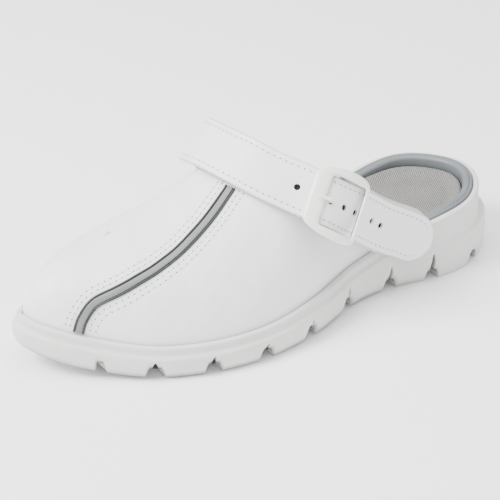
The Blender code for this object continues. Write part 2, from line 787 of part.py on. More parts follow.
def frame_lift(p):
    """Height of the buckle's underside: it arches over the middle bar."""
    return BUCKLE_SEAT - BUCKLE_ARCH * (p / (BUCKLE_LENGTH / 2)) ** 2


def joined(name, pieces, finish):
    """Union of closed meshes as one object."""
    body = add_object(name, pieces[0], PARTS, finish)
    for index, piece in enumerate(pieces[1:]):
        tool = cutter(f"{name}_join_{index}", piece)
        step = body.modifiers.new(tool.name, "BOOLEAN")
        step.operation = "UNION"
        step.solver = "EXACT"
        step.object = tool
    return body


def cylinder_mesh(name, centre, axis, radius, depth, segments=16):
    mesh = bpy.data.meshes.new(name)
    bm = bmesh.new()
    local_cylinder(bm, centre, axis, radius, depth, segments)
    bm.to_mesh(mesh)
    bm.free()
    return mesh


def buckle(route):
    axes = BuckleFrame(route)
    count = BUCKLE_POINTS
    window = STRAP_WIDTH / 2 + CLEARANCE
    inner_p, inner_q = squarish(count, 16)
    inner_p = inner_p * (BUCKLE_LENGTH - BUCKLE_BACK_BAR - BUCKLE_FRONT_BAR) / 2
    inner_p = inner_p + (BUCKLE_BACK_BAR - BUCKLE_FRONT_BAR) / 2
    inner_q = inner_q * window
    unit_p, unit_q = squarish(count, 9)
    outer_p = unit_p * BUCKLE_LENGTH / 2
    outer_q = unit_q * (window + BUCKLE_ARM + BUCKLE_FLARE * unit_p + BUCKLE_BULGE * (1 - unit_p**2))
    loops = []
    for blend, lift in ((0.0, 0), (0.0, 1 - 0.3), (0.12, 1), (0.88, 1), (1.0, 1 - 0.3), (1.0, 0)):
        p, q = outer_p + (inner_p - outer_p) * blend, outer_q + (inner_q - outer_q) * blend
        loops.append(axes.place(p, q, frame_lift(p) + lift * BUCKLE_THICKNESS))
    faces = []
    for level in range(len(loops)):
        low, high = level * count, (level + 1) % len(loops) * count
        for i in range(count):
            j = (i + 1) % count
            faces.append((low + i, low + j, high + j, high + i))
    pieces = [make_mesh("buckle", np.concatenate(loops), faces)]
    depth = -bar_depth()
    leg_middle = window + 2 * CLEARANCE + BUCKLE_ARM / 2
    bar_middle = axes.place(0, 0, depth)
    pieces.append(cylinder_mesh("centre_bar", bar_middle, axes.across, CENTRE_BAR / 2, 2 * leg_middle))
    for side in (-1, 1):
        leg = bpy.data.meshes.new("leg")
        bm = bmesh.new()
        bmesh.ops.create_cube(bm, size=1)
        top, bottom = BUCKLE_SEAT + BUCKLE_THICKNESS / 2, depth - CENTRE_BAR / 2
        middle = axes.place(0, side * leg_middle, (top + bottom) / 2)
        turn_to = Matrix([axes.along, axes.across, axes.out]).transposed().to_4x4()
        size = Matrix.Diagonal((CENTRE_BAR * 1.5, BUCKLE_ARM, top - bottom, 1))
        bmesh.ops.transform(bm, matrix=Matrix.Translation(middle) @ turn_to @ size, verts=bm.verts)
        bm.to_mesh(leg)
        bm.free()
        pieces.append(leg)
    return joined("buckle", pieces, IVORY_PLASTIC)


def buckle_prong(route):
    """Prong hinged on the middle bar: up through its hole and flat on the wide bar."""
    axes = BuckleFrame(route)
    depth = -bar_depth()
    hole_spot, _, _, hole_face = (v[0] for v in route.frame(route.hole(PRONG_HOLE_COUNT)))
    offset = hole_spot - axes.origin
    hole_p, hole_h = float(offset @ axes.along) - CLEARANCE, float(offset @ axes.out)
    radius = PRONG_WIDTH / 2 - CLEARANCE
    under = hole_h - STRAP_THICKNESS - radius - 3 * CLEARANCE
    over = BUCKLE_SEAT + BUCKLE_THICKNESS + CLEARANCE + radius
    wide_bar = -BUCKLE_LENGTH / 2 + BUCKLE_BACK_BAR
    tip = wide_bar - BUCKLE_BACK_BAR * 0.6
    eye = CENTRE_BAR / 2 + CLEARANCE
    route_points = [
        (-eye - radius * 0.6, depth),
        (-eye - radius, under),
        (hole_p, under),
        (hole_p, over - radius),
        (hole_p - 1.2 * radius, over),
        (wide_bar - 2 * CLEARANCE, over - frame_drop(wide_bar)),
        (tip, over - frame_drop(tip)),
    ]
    curve = bpy.data.curves.new("prong_wire", "CURVE")
    curve.dimensions = "3D"
    curve.bevel_depth = radius
    curve.bevel_resolution = 2
    curve.use_fill_caps = True
    line = curve.splines.new("POLY")
    line.points.add(len(route_points) - 1)
    for point, (p, h) in zip(line.points, route_points):
        point.co = (*axes.place(p, 0, h), 1)
    wire = bpy.data.objects.new("prong_wire", curve)
    bpy.context.scene.collection.objects.link(wire)
    bpy.context.view_layer.update()
    shank = bpy.data.meshes.new_from_object(wire.evaluated_get(bpy.context.evaluated_depsgraph_get()))
    bpy.data.objects.remove(wire)
    bm = bmesh.new()
    bm.from_mesh(shank)
    bmesh.ops.remove_doubles(bm, verts=bm.verts, dist=1e-6)
    bmesh.ops.recalc_face_normals(bm, faces=bm.faces)
    bm.to_mesh(shank)
    bm.free()
    centre = axes.place(0, 0, depth)
    ring_mesh = cylinder_mesh("prong_eye", centre, axes.across, LOOP_RADIUS, PRONG_WIDTH)
    body = joined("buckle_prong", [ring_mesh, shank], IVORY_PLASTIC)
    cut(body, punched("prong_eye_bore", [(centre, axes.across, eye, 2 * PRONG_WIDTH)]))
    return body


def frame_drop(p):
    """How far the buckle has dropped below its middle at p."""
    return BUCKLE_SEAT - frame_lift(p)


def rivet(name, outer_spot, face, head_depth, ear):
    """Turned rivet from its outer head, through its shank, to the head inside the ear."""
    outer = outer_spot - face * head_depth
    length = abs((outer[0] - ear) / face[0])
    shank, head = RIVET_DIAMETER / 2, RIVET_HEAD / 2
    profile = [
        (0, RIVET_HEAD_THICKNESS),
        (head * 0.7, RIVET_HEAD_THICKNESS),
        (head, RIVET_HEAD_THICKNESS * 0.4),
        (head, 0),
        (shank, 0),
        (shank, -length),
        (head * 0.8, -length),
        (head * 0.8, -length - RIVET_HEAD_THICKNESS * 0.8),
        (0, -length - RIVET_HEAD_THICKNESS * 0.8),
    ]
    mesh = bpy.data.meshes.new(name)
    mesh.from_pydata([(x, 0, z) for x, z in profile], [(i, i + 1) for i in range(len(profile) - 1)], [])
    body = add_object(name, mesh, PARTS, IVORY_PLASTIC)
    body.matrix_world = Matrix.Translation(outer) @ Vector(face).to_track_quat("Z", "Y").to_matrix().to_4x4()
    spin = body.modifiers.new("turned", "SCREW")
    spin.steps = spin.render_steps = RIVET_STEPS
    spin.use_merge_vertices = True
    spin.merge_threshold = 0.00001
    return body


def ear_inner_face(row, side):
    """The x just inside the upper's wall where the inner head of a rivet lies; side is 1 or -1."""
    along, height = pivot(row)
    u = math.asin((along - TAIL_ALONG) / (LENGTH - TAIL_ALONG)) / math.pi
    w = np.linspace(0, 0.6, 60)
    points = upper_surface(np.full(60, u if side > 0 else 1 - u), w)
    near = np.abs(points[:, 2] - height) < RIVET_HEAD / 2
    return side * (np.abs(points[near, 0]).min() - LEATHER - EAR_LEAN)


def rivets(route):
    spot, _, _, face = (v[0] for v in route.frame(route.row_run[STRAP.index(INNER_PIVOT)]))
    rivet("rivet_inner_side", spot, face, -CLEARANCE, ear_inner_face(INNER_PIVOT, -1))
    spot, _, _, face = (v[0] for v in route.frame(route.row_run[STRAP.index(OUTER_PIVOT)]))
    under_strap = STRAP_THICKNESS + TAB_GAP - CLEARANCE
    rivet("rivet_outer_side", spot, face, under_strap, ear_inner_face(OUTER_PIVOT, 1))


# Middle line of the decorative stripe on the upper's face, as shares round and up the upper
StripePoint = namedtuple("StripePoint", "around rise")
STRIPE = (
    StripePoint(0.364, 0.050),
    StripePoint(0.358, 0.160),
    StripePoint(0.344, 0.318),
    StripePoint(0.318, 0.432),
    StripePoint(0.290, 0.525),
    StripePoint(0.259, 0.585),
    StripePoint(0.231, 0.628),
    StripePoint(0.208, 0.665),
    StripePoint(0.185, 0.707),
    StripePoint(0.165, 0.757),
    StripePoint(0.159, 0.774),
)


def stripe_band(name, first, last, finish):
    """Thin strip on the upper, between two distances to the side of the stripe's middle line."""
    rows = np.arange(len(STRIPE))
    fine = np.linspace(0, rows[-1], STRIPE_STEPS)
    u = spline(rows, [point.around for point in STRIPE], fine)
    w = spline(rows, [point.rise for point in STRIPE], fine)
    travel = np.gradient(upper_surface(u, w), axis=0)
    travel /= np.linalg.norm(travel, axis=1, keepdims=True)
    side = np.cross(travel, upper_normal(u, w))
    small = 1e-3
    by_u = (upper_surface(u + small, w) - upper_surface(u - small, w)) / (2 * small)
    by_w = (upper_surface(u, w + small) - upper_surface(u, w - small)) / (2 * small)
    steps = np.linalg.pinv(np.stack([by_u, by_w], axis=2)) @ side[:, :, None]
    lines = []
    for distance, lift in ((first, 0), (last, 0), (last, STRIPE_THICKNESS), (first, STRIPE_THICKNESS)):
        at_u, at_w = u + steps[:, 0, 0] * distance, w + steps[:, 1, 0] * distance
        lines.append(upper_surface(at_u, at_w) + upper_normal(at_u, at_w) * (CLEARANCE + lift))
    return add_object(name, tube_mesh(name, list(np.stack(lines, axis=1))), PARTS, finish)


def stripe():
    """Grey stripe down the vamp with a dark piping along each side."""
    edge = STRIPE_WIDTH / 2
    grey = edge - PIPING_WIDTH - CLEARANCE
    stripe_band("stripe", -grey, grey, GREY_STRIPE)
    stripe_band("piping_front", -edge, -edge + PIPING_WIDTH, DARK_PIPING)
    stripe_band("piping_rear", edge - PIPING_WIDTH, edge, DARK_PIPING)


def centre_shoe():
    """Move everything sideways so that the sole's outline is centred on the origin."""
    plan, _ = full_outline()
    for thing in bpy.data.objects:
        thing.location.x -= (plan[:, 0].max() + plan[:, 0].min()) / 2


def main():
    for thing in list(bpy.data.objects):
        bpy.data.objects.remove(thing, do_unlink=True)
    route = Route()
    sole()
    upper(route)
    insole()
    heel_rim()
    stripe()
    strap(route)
    strap_tab(route)
    buckle(route)
    buckle_prong(route)
    rivets(route)
    centre_shoe()


main()
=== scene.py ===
import math

import bmesh
import bpy
import numpy as np
from mathutils import Matrix, Vector


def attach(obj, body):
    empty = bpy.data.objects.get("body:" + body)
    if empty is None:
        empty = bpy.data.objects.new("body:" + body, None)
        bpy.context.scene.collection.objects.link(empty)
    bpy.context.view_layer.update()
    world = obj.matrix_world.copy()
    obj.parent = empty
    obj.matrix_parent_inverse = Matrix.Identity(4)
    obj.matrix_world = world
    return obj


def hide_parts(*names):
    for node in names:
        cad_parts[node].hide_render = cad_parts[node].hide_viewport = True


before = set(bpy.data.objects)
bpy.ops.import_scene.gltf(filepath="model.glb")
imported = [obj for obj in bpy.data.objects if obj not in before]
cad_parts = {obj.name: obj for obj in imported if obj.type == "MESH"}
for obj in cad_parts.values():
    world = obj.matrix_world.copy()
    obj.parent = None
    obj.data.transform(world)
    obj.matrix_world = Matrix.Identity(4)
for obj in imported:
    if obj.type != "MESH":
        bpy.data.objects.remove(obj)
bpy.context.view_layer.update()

print("frame loaded", flush=True)

mm = 0.001

# The shoe's own sizes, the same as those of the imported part
clog = dict(
    length=287 * mm, ballWidth=108 * mm, lipHeight=41 * mm, floorHeight=30 * mm, toeSpring=13 * mm,
    archRise=1.2 * mm, heelRound=44 * mm, toeRound=62 * mm, instepHeight=92 * mm, clearance=0.3 * mm,
    wallRound=0.6 * mm, lipWidth=3.2 * mm, stepDepth=1.3 * mm, heelLedge=3.6 * mm,
    stepDrop=5.5 * mm, heelStepDrop=18 * mm,
)

# along is a share of length; lateral, medial and crest of ball width; lip, floor, crown and spring
# of their own heights
sectionNames = ("along", "lateral", "medial", "crest", "lip", "floor", "crown", "full", "spring")
sections = np.array([
    (0.00, 0.310, 0.400, -0.05, 1.00, 1.00, 0.80, 2.0, 0.00),
    (0.10, 0.312, 0.400, -0.05, 0.97, 0.97, 0.86, 2.0, 0.00),
    (0.18, 0.320, 0.402, -0.06, 0.90, 0.93, 0.94, 2.0, 0.00),
    (0.27, 0.292, 0.388, -0.06, 0.74, 0.82, 1.02, 2.0, 0.00),
    (0.37, 0.325, 0.372, -0.07, 0.59, 0.68, 1.08, 2.0, 0.00),
    (0.48, 0.445, 0.390, -0.09, 0.53, 0.60, 1.04, 1.9, 0.00),
    (0.60, 0.505, 0.450, -0.11, 0.45, 0.50, 0.88, 1.85, 0.00),
    (0.71, 0.480, 0.490, -0.12, 0.43, 0.47, 0.73, 2.0, 0.02),
    (0.82, 0.375, 0.475, -0.12, 0.45, 0.49, 0.63, 2.4, 0.09),
    (0.91, 0.270, 0.410, -0.11, 0.56, 0.60, 0.60, 2.9, 0.38),
    (1.00, 0.215, 0.290, -0.10, 0.74, 0.82, 0.58, 3.2, 1.00),
])
notches = np.array((0.083, 0.195, 0.286, 0.396, 0.506, 0.612, 0.718, 0.817, 0.898)) * clog["length"]


def spline(xs, ys, x):
    # cubic through the points, each slope taken from the neighbours
    xs, ys = np.asarray(xs, float), np.asarray(ys, float)
    x = np.clip(x, xs[0], xs[-1])
    slopes = np.gradient(ys, xs)
    i = np.clip(np.searchsorted(xs, x) - 1, 0, len(xs) - 2)
    h = xs[i + 1] - xs[i]
    t = (x - xs[i]) / h
    return (
        (2 * t**3 - 3 * t**2 + 1) * ys[i]
        + (t**3 - 2 * t**2 + t) * h * slopes[i]
        + (-2 * t**3 + 3 * t**2) * ys[i + 1]
        + (t**3 - t**2) * h * slopes[i + 1]
    )


def column(name, along):
    return spline(sections[:, 0], sections[:, sectionNames.index(name)], along / clog["length"])


def smoothstep(low, high, x):
    t = np.clip((x - low) / (high - low), 0, 1)
    return t * t * (3 - 2 * t)


def unit(v):
    return v / np.maximum(np.linalg.norm(v, axis=-1, keepdims=True), 1e-12)


def endRound(distance, radius, power):
    t = 1 - np.clip(distance / radius, 0, 1)
    return (1 - t**power) ** (1 / power)


def outline(along, lateral):
    # widest plan outline: half width from the table, rounded to the crest line at both ends
    ends = endRound(along, clog["heelRound"], 2.0) * endRound(clog["length"] - along, clog["toeRound"], 2.1)
    half = np.where(lateral, column("lateral", along), -column("medial", along))
    x = (half * ends + column("crest", along) * (1 - ends)) * clog["ballWidth"]
    return np.stack([x, clog["length"] / 2 - along], axis=-1)


def tread(along):
    share = along / clog["length"]
    arch = smoothstep(0.24, 0.36, share) * (1 - smoothstep(0.44, 0.6, share))
    return column("spring", along) * clog["toeSpring"] + clog["archRise"] * arch


def lip(along):
    return column("lip", along) * clog["lipHeight"]


def bed(along):
    return column("floor", along) * clog["floorHeight"]


def stepDepth(along):
    share = along / clog["length"]
    back, front = 1 - smoothstep(0.01, 0.12, share), smoothstep(0.22, 0.4, share)
    return clog["heelLedge"] * back + clog["stepDepth"] * front


def seatInset(along):
    return 2 * clog["wallRound"] + stepDepth(along) + clog["lipWidth"]


wide = outline(np.linspace(0, 1, 4001) * clog["length"], True)[:, 0].max()
narrow = outline(np.linspace(0, 1, 4001) * clog["length"], False)[:, 0].min()
sideShift = (wide + narrow) / 2


def shown(points):
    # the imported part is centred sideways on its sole
    return np.asarray(points) - np.array([sideShift, 0, 0])


# meshes from arrays


def meshFrom(name, points, quads, values=None, weld=1e-6):
    # quads with repeated corners become triangles when the doubles are removed
    quads = np.asarray(quads).reshape(-1, 4)
    mesh = bpy.data.meshes.new(name)
    mesh.vertices.add(len(points))
    mesh.vertices.foreach_set("co", np.ascontiguousarray(points, np.float32).ravel())
    mesh.loops.add(quads.size)
    mesh.loops.foreach_set("vertex_index", np.ascontiguousarray(quads, np.int32).ravel())
    mesh.polygons.add(len(quads))
    mesh.polygons.foreach_set("loop_start", np.arange(0, quads.size, 4, dtype=np.int32))
    mesh.update(calc_edges=True)
    for key, amounts in (values or {}).items():
        layer = mesh.attributes.new(key, "FLOAT", "POINT")
        layer.data.foreach_set("value", np.ascontiguousarray(amounts, np.float32).ravel())
    bm = bmesh.new()
    bm.from_mesh(mesh)
    bmesh.ops.remove_doubles(bm, verts=bm.verts, dist=weld)
    loose = [v for v in bm.verts if not v.link_faces]
    bmesh.ops.delete(bm, geom=loose, context="VERTS")
    bmesh.ops.recalc_face_normals(bm, faces=bm.faces)
    bm.to_mesh(mesh)
    bm.free()
    mesh.shade_smooth()
    return mesh


def closedMesh(meshes):
    # joins the meshes into the first one, closes open ends and turns all faces outward
    bm = bmesh.new()
    for mesh in meshes:
        bm.from_mesh(mesh)
    bmesh.ops.holes_fill(bm, edges=[e for e in bm.edges if e.is_boundary])
    bmesh.ops.recalc_face_normals(bm, faces=bm.faces)
    bm.to_mesh(meshes[0])
    bm.free()
    meshes[0].shade_smooth()
    return meshes[0]


def gridQuads(n, m, wrapU=False, wrapV=False):
    a, b = np.meshgrid(np.arange(n if wrapU else n - 1), np.arange(m if wrapV else m - 1), indexing="ij")
    c, d = (a + 1) % n, (b + 1) % m
    return np.stack([a * m + b, c * m + b, c * m + d, a * m + d], axis=-1)


def tubeQuads(n, m):
    # closed tube of n loops with m points each; strips across the first and the last loop close it
    i = np.arange((m - 1) // 2)
    cap = np.stack([i, i + 1, m - 2 - i, m - 1 - i], axis=1)
    return [gridQuads(n, m, wrapV=True).reshape(-1, 4), cap, cap + (n - 1) * m]


def sheetAcross(points, level, count, steps):
    # straight lines from the lateral to the medial half of one level of a ring of points
    lateral = points[:count, level][:, None]
    medial = points[(len(points) - np.arange(count)) % len(points), level][:, None]
    share = np.linspace(0, 1, steps)[None, :, None]
    return lateral * (1 - share) + medial * share


def place(name, mesh, material):
    piece = bpy.data.objects.new(name, mesh)
    bpy.context.scene.collection.objects.link(piece)
    mesh.materials.append(material)
    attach(piece, "root")
    return piece


# materials


class Shade:
    # short ways to add and link shader nodes
    def __init__(self, name):
        self.made = bpy.data.materials.new(name)
        self.made.use_nodes = True
        self.tree = self.made.node_tree
        self.shader = self.tree.nodes["Principled BSDF"]
        self.place = self.tree.nodes.new("ShaderNodeTexCoord").outputs["Object"]

    def put(self, socket, value):
        # links another node's output, or sets a plain value or colour
        if isinstance(value, bpy.types.NodeSocket):
            self.tree.links.new(value, socket)
        else:
            socket.default_value = (*value, 1) if isinstance(value, tuple) else value

    def node(self, kind, **inputs):
        made = self.tree.nodes.new(kind)
        for key, value in inputs.items():
            self.put(made.inputs[key.replace("_", " ")], value)
        return made

    def noise(self, scale, detail=2.0, rough=0.5):
        made = self.node("ShaderNodeTexNoise", Vector=self.place, Scale=scale, Detail=detail, Roughness=rough)
        return made.outputs["Fac"]

    def cells(self, scale):
        made = self.node("ShaderNodeTexVoronoi", Vector=self.place, Scale=scale)
        made.feature = "DISTANCE_TO_EDGE"
        return made.outputs["Distance"]

    def math(self, operation, a, b=0.0):
        made = self.tree.nodes.new("ShaderNodeMath")
        made.operation = operation
        self.put(made.inputs[0], a)
        self.put(made.inputs[1], b)
        return made.outputs[0]

    def span(self, value, fromLow, fromHigh, toLow, toHigh):
        made = self.node(
            "ShaderNodeMapRange", Value=value, From_Min=fromLow, From_Max=fromHigh, To_Min=toLow, To_Max=toHigh
        )
        return made.outputs["Result"]

    def mix(self, factor, first, second):
        made = self.tree.nodes.new("ShaderNodeMix")
        made.data_type = "RGBA"
        for index, value in ((0, factor), (6, first), (7, second)):
            self.put(made.inputs[index], value)
        return made.outputs[2]

    def value(self, key):
        made = self.tree.nodes.new("ShaderNodeAttribute")
        made.attribute_name = key
        return made.outputs["Fac"]

    def bump(self, height, distance, strength=1.0, before=None):
        made = self.node("ShaderNodeBump", Height=height, Distance=distance, Strength=strength)
        if before is not None:
            self.tree.links.new(before, made.inputs["Normal"])
        return made.outputs["Normal"]

    def finish(self, color, rough, normal, **constants):
        for key, value in (("Base Color", color), ("Roughness", rough), ("Normal", normal)):
            self.put(self.shader.inputs[key], value)
        for key, value in constants.items():
            self.shader.inputs[key.replace("_", " ")].default_value = value
        return self.made


def leatherShade(name, base, dark, rough, grain=1.0, edgeColor=None):
    s = Shade(name)
    tone = s.noise(38.0, 3.0)
    color = s.mix(s.span(tone, 0.3, 0.7, 0.0, 1.0), dark, base)
    if edgeColor:
        color = s.mix(s.value("cutEdge"), color, edgeColor)
    pores = s.cells(1500.0)
    fine = s.noise(2600.0, 2.0)
    height = s.math("ADD", s.span(pores, 0.0, 0.28, 0.0, 1.0), s.math("MULTIPLY", fine, 0.5))
    coarse = s.bump(s.noise(260.0, 3.0, 0.6), 0.00012 * grain, 0.7)
    normal = s.bump(height, 0.000045 * grain, 0.8, coarse)
    roughness = s.span(s.noise(420.0, 2.0), 0.3, 0.7, rough - 0.05, rough + 0.06)
    return s.finish(color, roughness, normal, Coat_Weight=0.12, Coat_Roughness=0.35, Specular_IOR_Level=0.45)


def foamShade():
    s = Shade("sole foam")
    tone = s.noise(60.0, 3.0)
    unshaded = s.mix(s.span(tone, 0.3, 0.7, 0.0, 1.0), (0.60, 0.60, 0.588), (0.64, 0.64, 0.628))
    # painted shade: near black in the side creases and low in the cross grooves, and part way dark on the
    # chamfer at the foot of the wall
    color = s.mix(s.value("paintedShade"), unshaded, (0.09, 0.09, 0.088))
    fine = s.bump(s.noise(1700.0, 3.0, 0.6), 0.00006, 0.6)
    normal = s.bump(s.noise(500.0, 2.0), 0.00008, 0.5, fine)
    return s.finish(color, 0.52, normal, Specular_IOR_Level=0.4)


def rimShade():
    s = Shade("padded rim")
    tone = s.noise(55.0, 3.0)
    color = s.mix(s.span(tone, 0.3, 0.7, 0.0, 1.0), (0.135, 0.148, 0.156), (0.155, 0.17, 0.18))
    # painted shade: near black along the sewn valley of the roll
    color = s.mix(s.value("sewnValley"), color, (0.03, 0.035, 0.038))
    fine = s.bump(s.noise(2200.0, 2.0), 0.00004, 0.6)
    normal = s.bump(s.noise(240.0, 3.0), 0.00016, 0.6, fine)
    return s.finish(color, 0.48, normal)


def weaveShade():
    # warp and weft ribs from the sines of two slanted directions, in millimetres
    s = Shade("woven bed")
    split = s.tree.nodes.new("ShaderNodeSeparateXYZ")
    s.tree.links.new(s.place, split.inputs[0])
    x, y = split.outputs[0], split.outputs[1]
    turn = math.radians(38)
    first = s.math("ADD", s.math("MULTIPLY", x, math.cos(turn)), s.math("MULTIPLY", y, math.sin(turn)))
    second = s.math("SUBTRACT", s.math("MULTIPLY", y, math.cos(turn)), s.math("MULTIPLY", x, math.sin(turn)))
    wobble = s.math("MULTIPLY", s.noise(220.0, 2.0), 0.0009)
    pitch = 2 * math.pi / (2.1 * mm)
    a = s.math("SINE", s.math("MULTIPLY", s.math("ADD", first, wobble), pitch))
    b = s.math("SINE", s.math("MULTIPLY", s.math("ADD", second, wobble), pitch))
    knots = s.math("MULTIPLY", a, b)
    ribs = s.math("ADD", s.math("ABSOLUTE", a), s.math("MULTIPLY", knots, 0.5))
    threads = s.noise(2600.0, 2.0)
    shade = s.span(ribs, 0.0, 1.3, 0.0, 1.0)
    color = s.mix(shade, (0.12, 0.117, 0.108), (0.37, 0.365, 0.345))
    color = s.mix(s.span(s.noise(70.0, 3.0), 0.35, 0.65, 0.0, 0.2), color, (0.38, 0.375, 0.355))
    normal = s.bump(ribs, 0.0006, 1.0, s.bump(threads, 0.0001, 0.6))
    return s.finish(color, 0.9, normal, Specular_IOR_Level=0.2)


def plasticShade():
    s = Shade("ivory plastic")
    normal = s.bump(s.noise(300.0, 2.0), 0.00002, 0.4)
    # painted shade: near black on the foot of the frame's inner wall, for the slits beside the strap
    color = s.mix(s.value("slitShade"), (0.84, 0.84, 0.80), (0.03, 0.03, 0.029))
    return s.finish(color, 0.24, normal, Coat_Weight=0.3, Coat_Roughness=0.12)


def plainShade(name, color, rough):
    s = Shade(name)
    return s.finish(color, rough, s.bump(s.noise(2500.0, 2.0), 0.00003, 0.5))


whiteLeather = leatherShade(
    "white leather", (0.85, 0.853, 0.85), (0.825, 0.83, 0.83), 0.42, 1.0, (0.55, 0.55, 0.535)
)
stripeLeather = leatherShade("grey stripe", (0.175, 0.183, 0.175), (0.155, 0.163, 0.155), 0.34, 0.6)
darkPiping = plainShade("dark piping", (0.016, 0.02, 0.0215), 0.45)
threadShade = plainShade("thread", (0.74, 0.75, 0.75), 0.6)
# painted shade of the needle holes, on dark flat discs at the stitch ends
needleHoleShade = plainShade("needle hole shade", (0.12, 0.125, 0.13), 0.9)
soleFoam, rimLeather, wovenBed, ivoryPlastic = foamShade(), rimShade(), weaveShade(), plasticShade()

# sole: rings of a rounded wall profile round the outline, with cross grooves and side creases

soleLook = dict(
    chamfer=4.5 * mm, chamferInset=3.2 * mm, grooveWide=5.2 * mm, grooveNarrow=2.3 * mm, grooveDepth=5 * mm,
    creaseTops=np.array([7.5, 17, 15, 14.5, 12, 11, 11, 10, 0.1]) * mm,
    creaseDepth=2.8 * mm, creaseWide=2.3 * mm, creaseNarrow=0.35 * mm, across=24,
)


def roundedRows(control, radii, steps):
    # each inner corner of a profile becomes a short quadratic curve; control is rows of (inset, height)
    rows = [control[0]]
    for i in range(1, len(control) - 1):
        before, here, after = control[i - 1], control[i], control[i + 1]
        backLength = np.linalg.norm(before - here, axis=1, keepdims=True)
        onLength = np.linalg.norm(after - here, axis=1, keepdims=True)
        start = here + (before - here) * np.minimum(radii[i] / np.maximum(backLength, 1e-9), 0.48)
        end = here + (after - here) * np.minimum(radii[i] / np.maximum(onLength, 1e-9), 0.48)
        for t in np.linspace(0, 1, steps):
            rows.append((1 - t) ** 2 * start + 2 * t * (1 - t) * here + t * t * end)
    rows.append(control[-1])
    return rows


def ringStations():
    # close together at both ends and beside each groove
    turn = np.linspace(0, math.pi, 230)
    ends = clog["length"] * (1 - np.cos(turn)) / 2
    even = np.linspace(0, clog["length"], 200)[1:-1]
    offsets = np.concatenate([np.linspace(-6, 6, 31), np.linspace(-1.2, 1.2, 9)]) * mm
    beside = (notches[:, None] + offsets[None, :]).ravel()
    every = np.unique(np.round(np.concatenate([ends, even, beside]), 6))
    every = every[(every >= 0) & (every <= clog["length"])]
    every[-1] = clog["length"]
    return every


def ringOf(half):
    # whole ring of stations: out along the lateral side to the toe, back along the medial side
    along = np.concatenate([half, half[-2:0:-1]])
    turn = np.arccos(np.clip(1 - 2 * along / clog["length"], -1, 1))
    turn = np.where(np.arange(len(along)) < len(half), turn, 2 * math.pi - turn)

    def around(angle):
        return outline(clog["length"] * (1 - np.cos(angle)) / 2, np.sin(angle) >= 0)

    # the direction across the outline is taken over a fixed small turn, so it doesn't follow the stations
    step = 2 * math.pi / 96
    run = unit(around(turn + step) - around(turn - step))
    return along, around(turn), np.stack([run[:, 1], -run[:, 0]], axis=1)


def grooveShape(along):
    # how far each station is into its nearest cross groove, in metres from the groove's middle
    gap = np.abs(along[:, None] - notches[None, :])
    nearest = gap.argmin(axis=1)
    size = np.where(nearest == len(notches) - 1, 0.5, 1.0)
    return gap.min(axis=1), size, soleLook["creaseTops"][nearest]


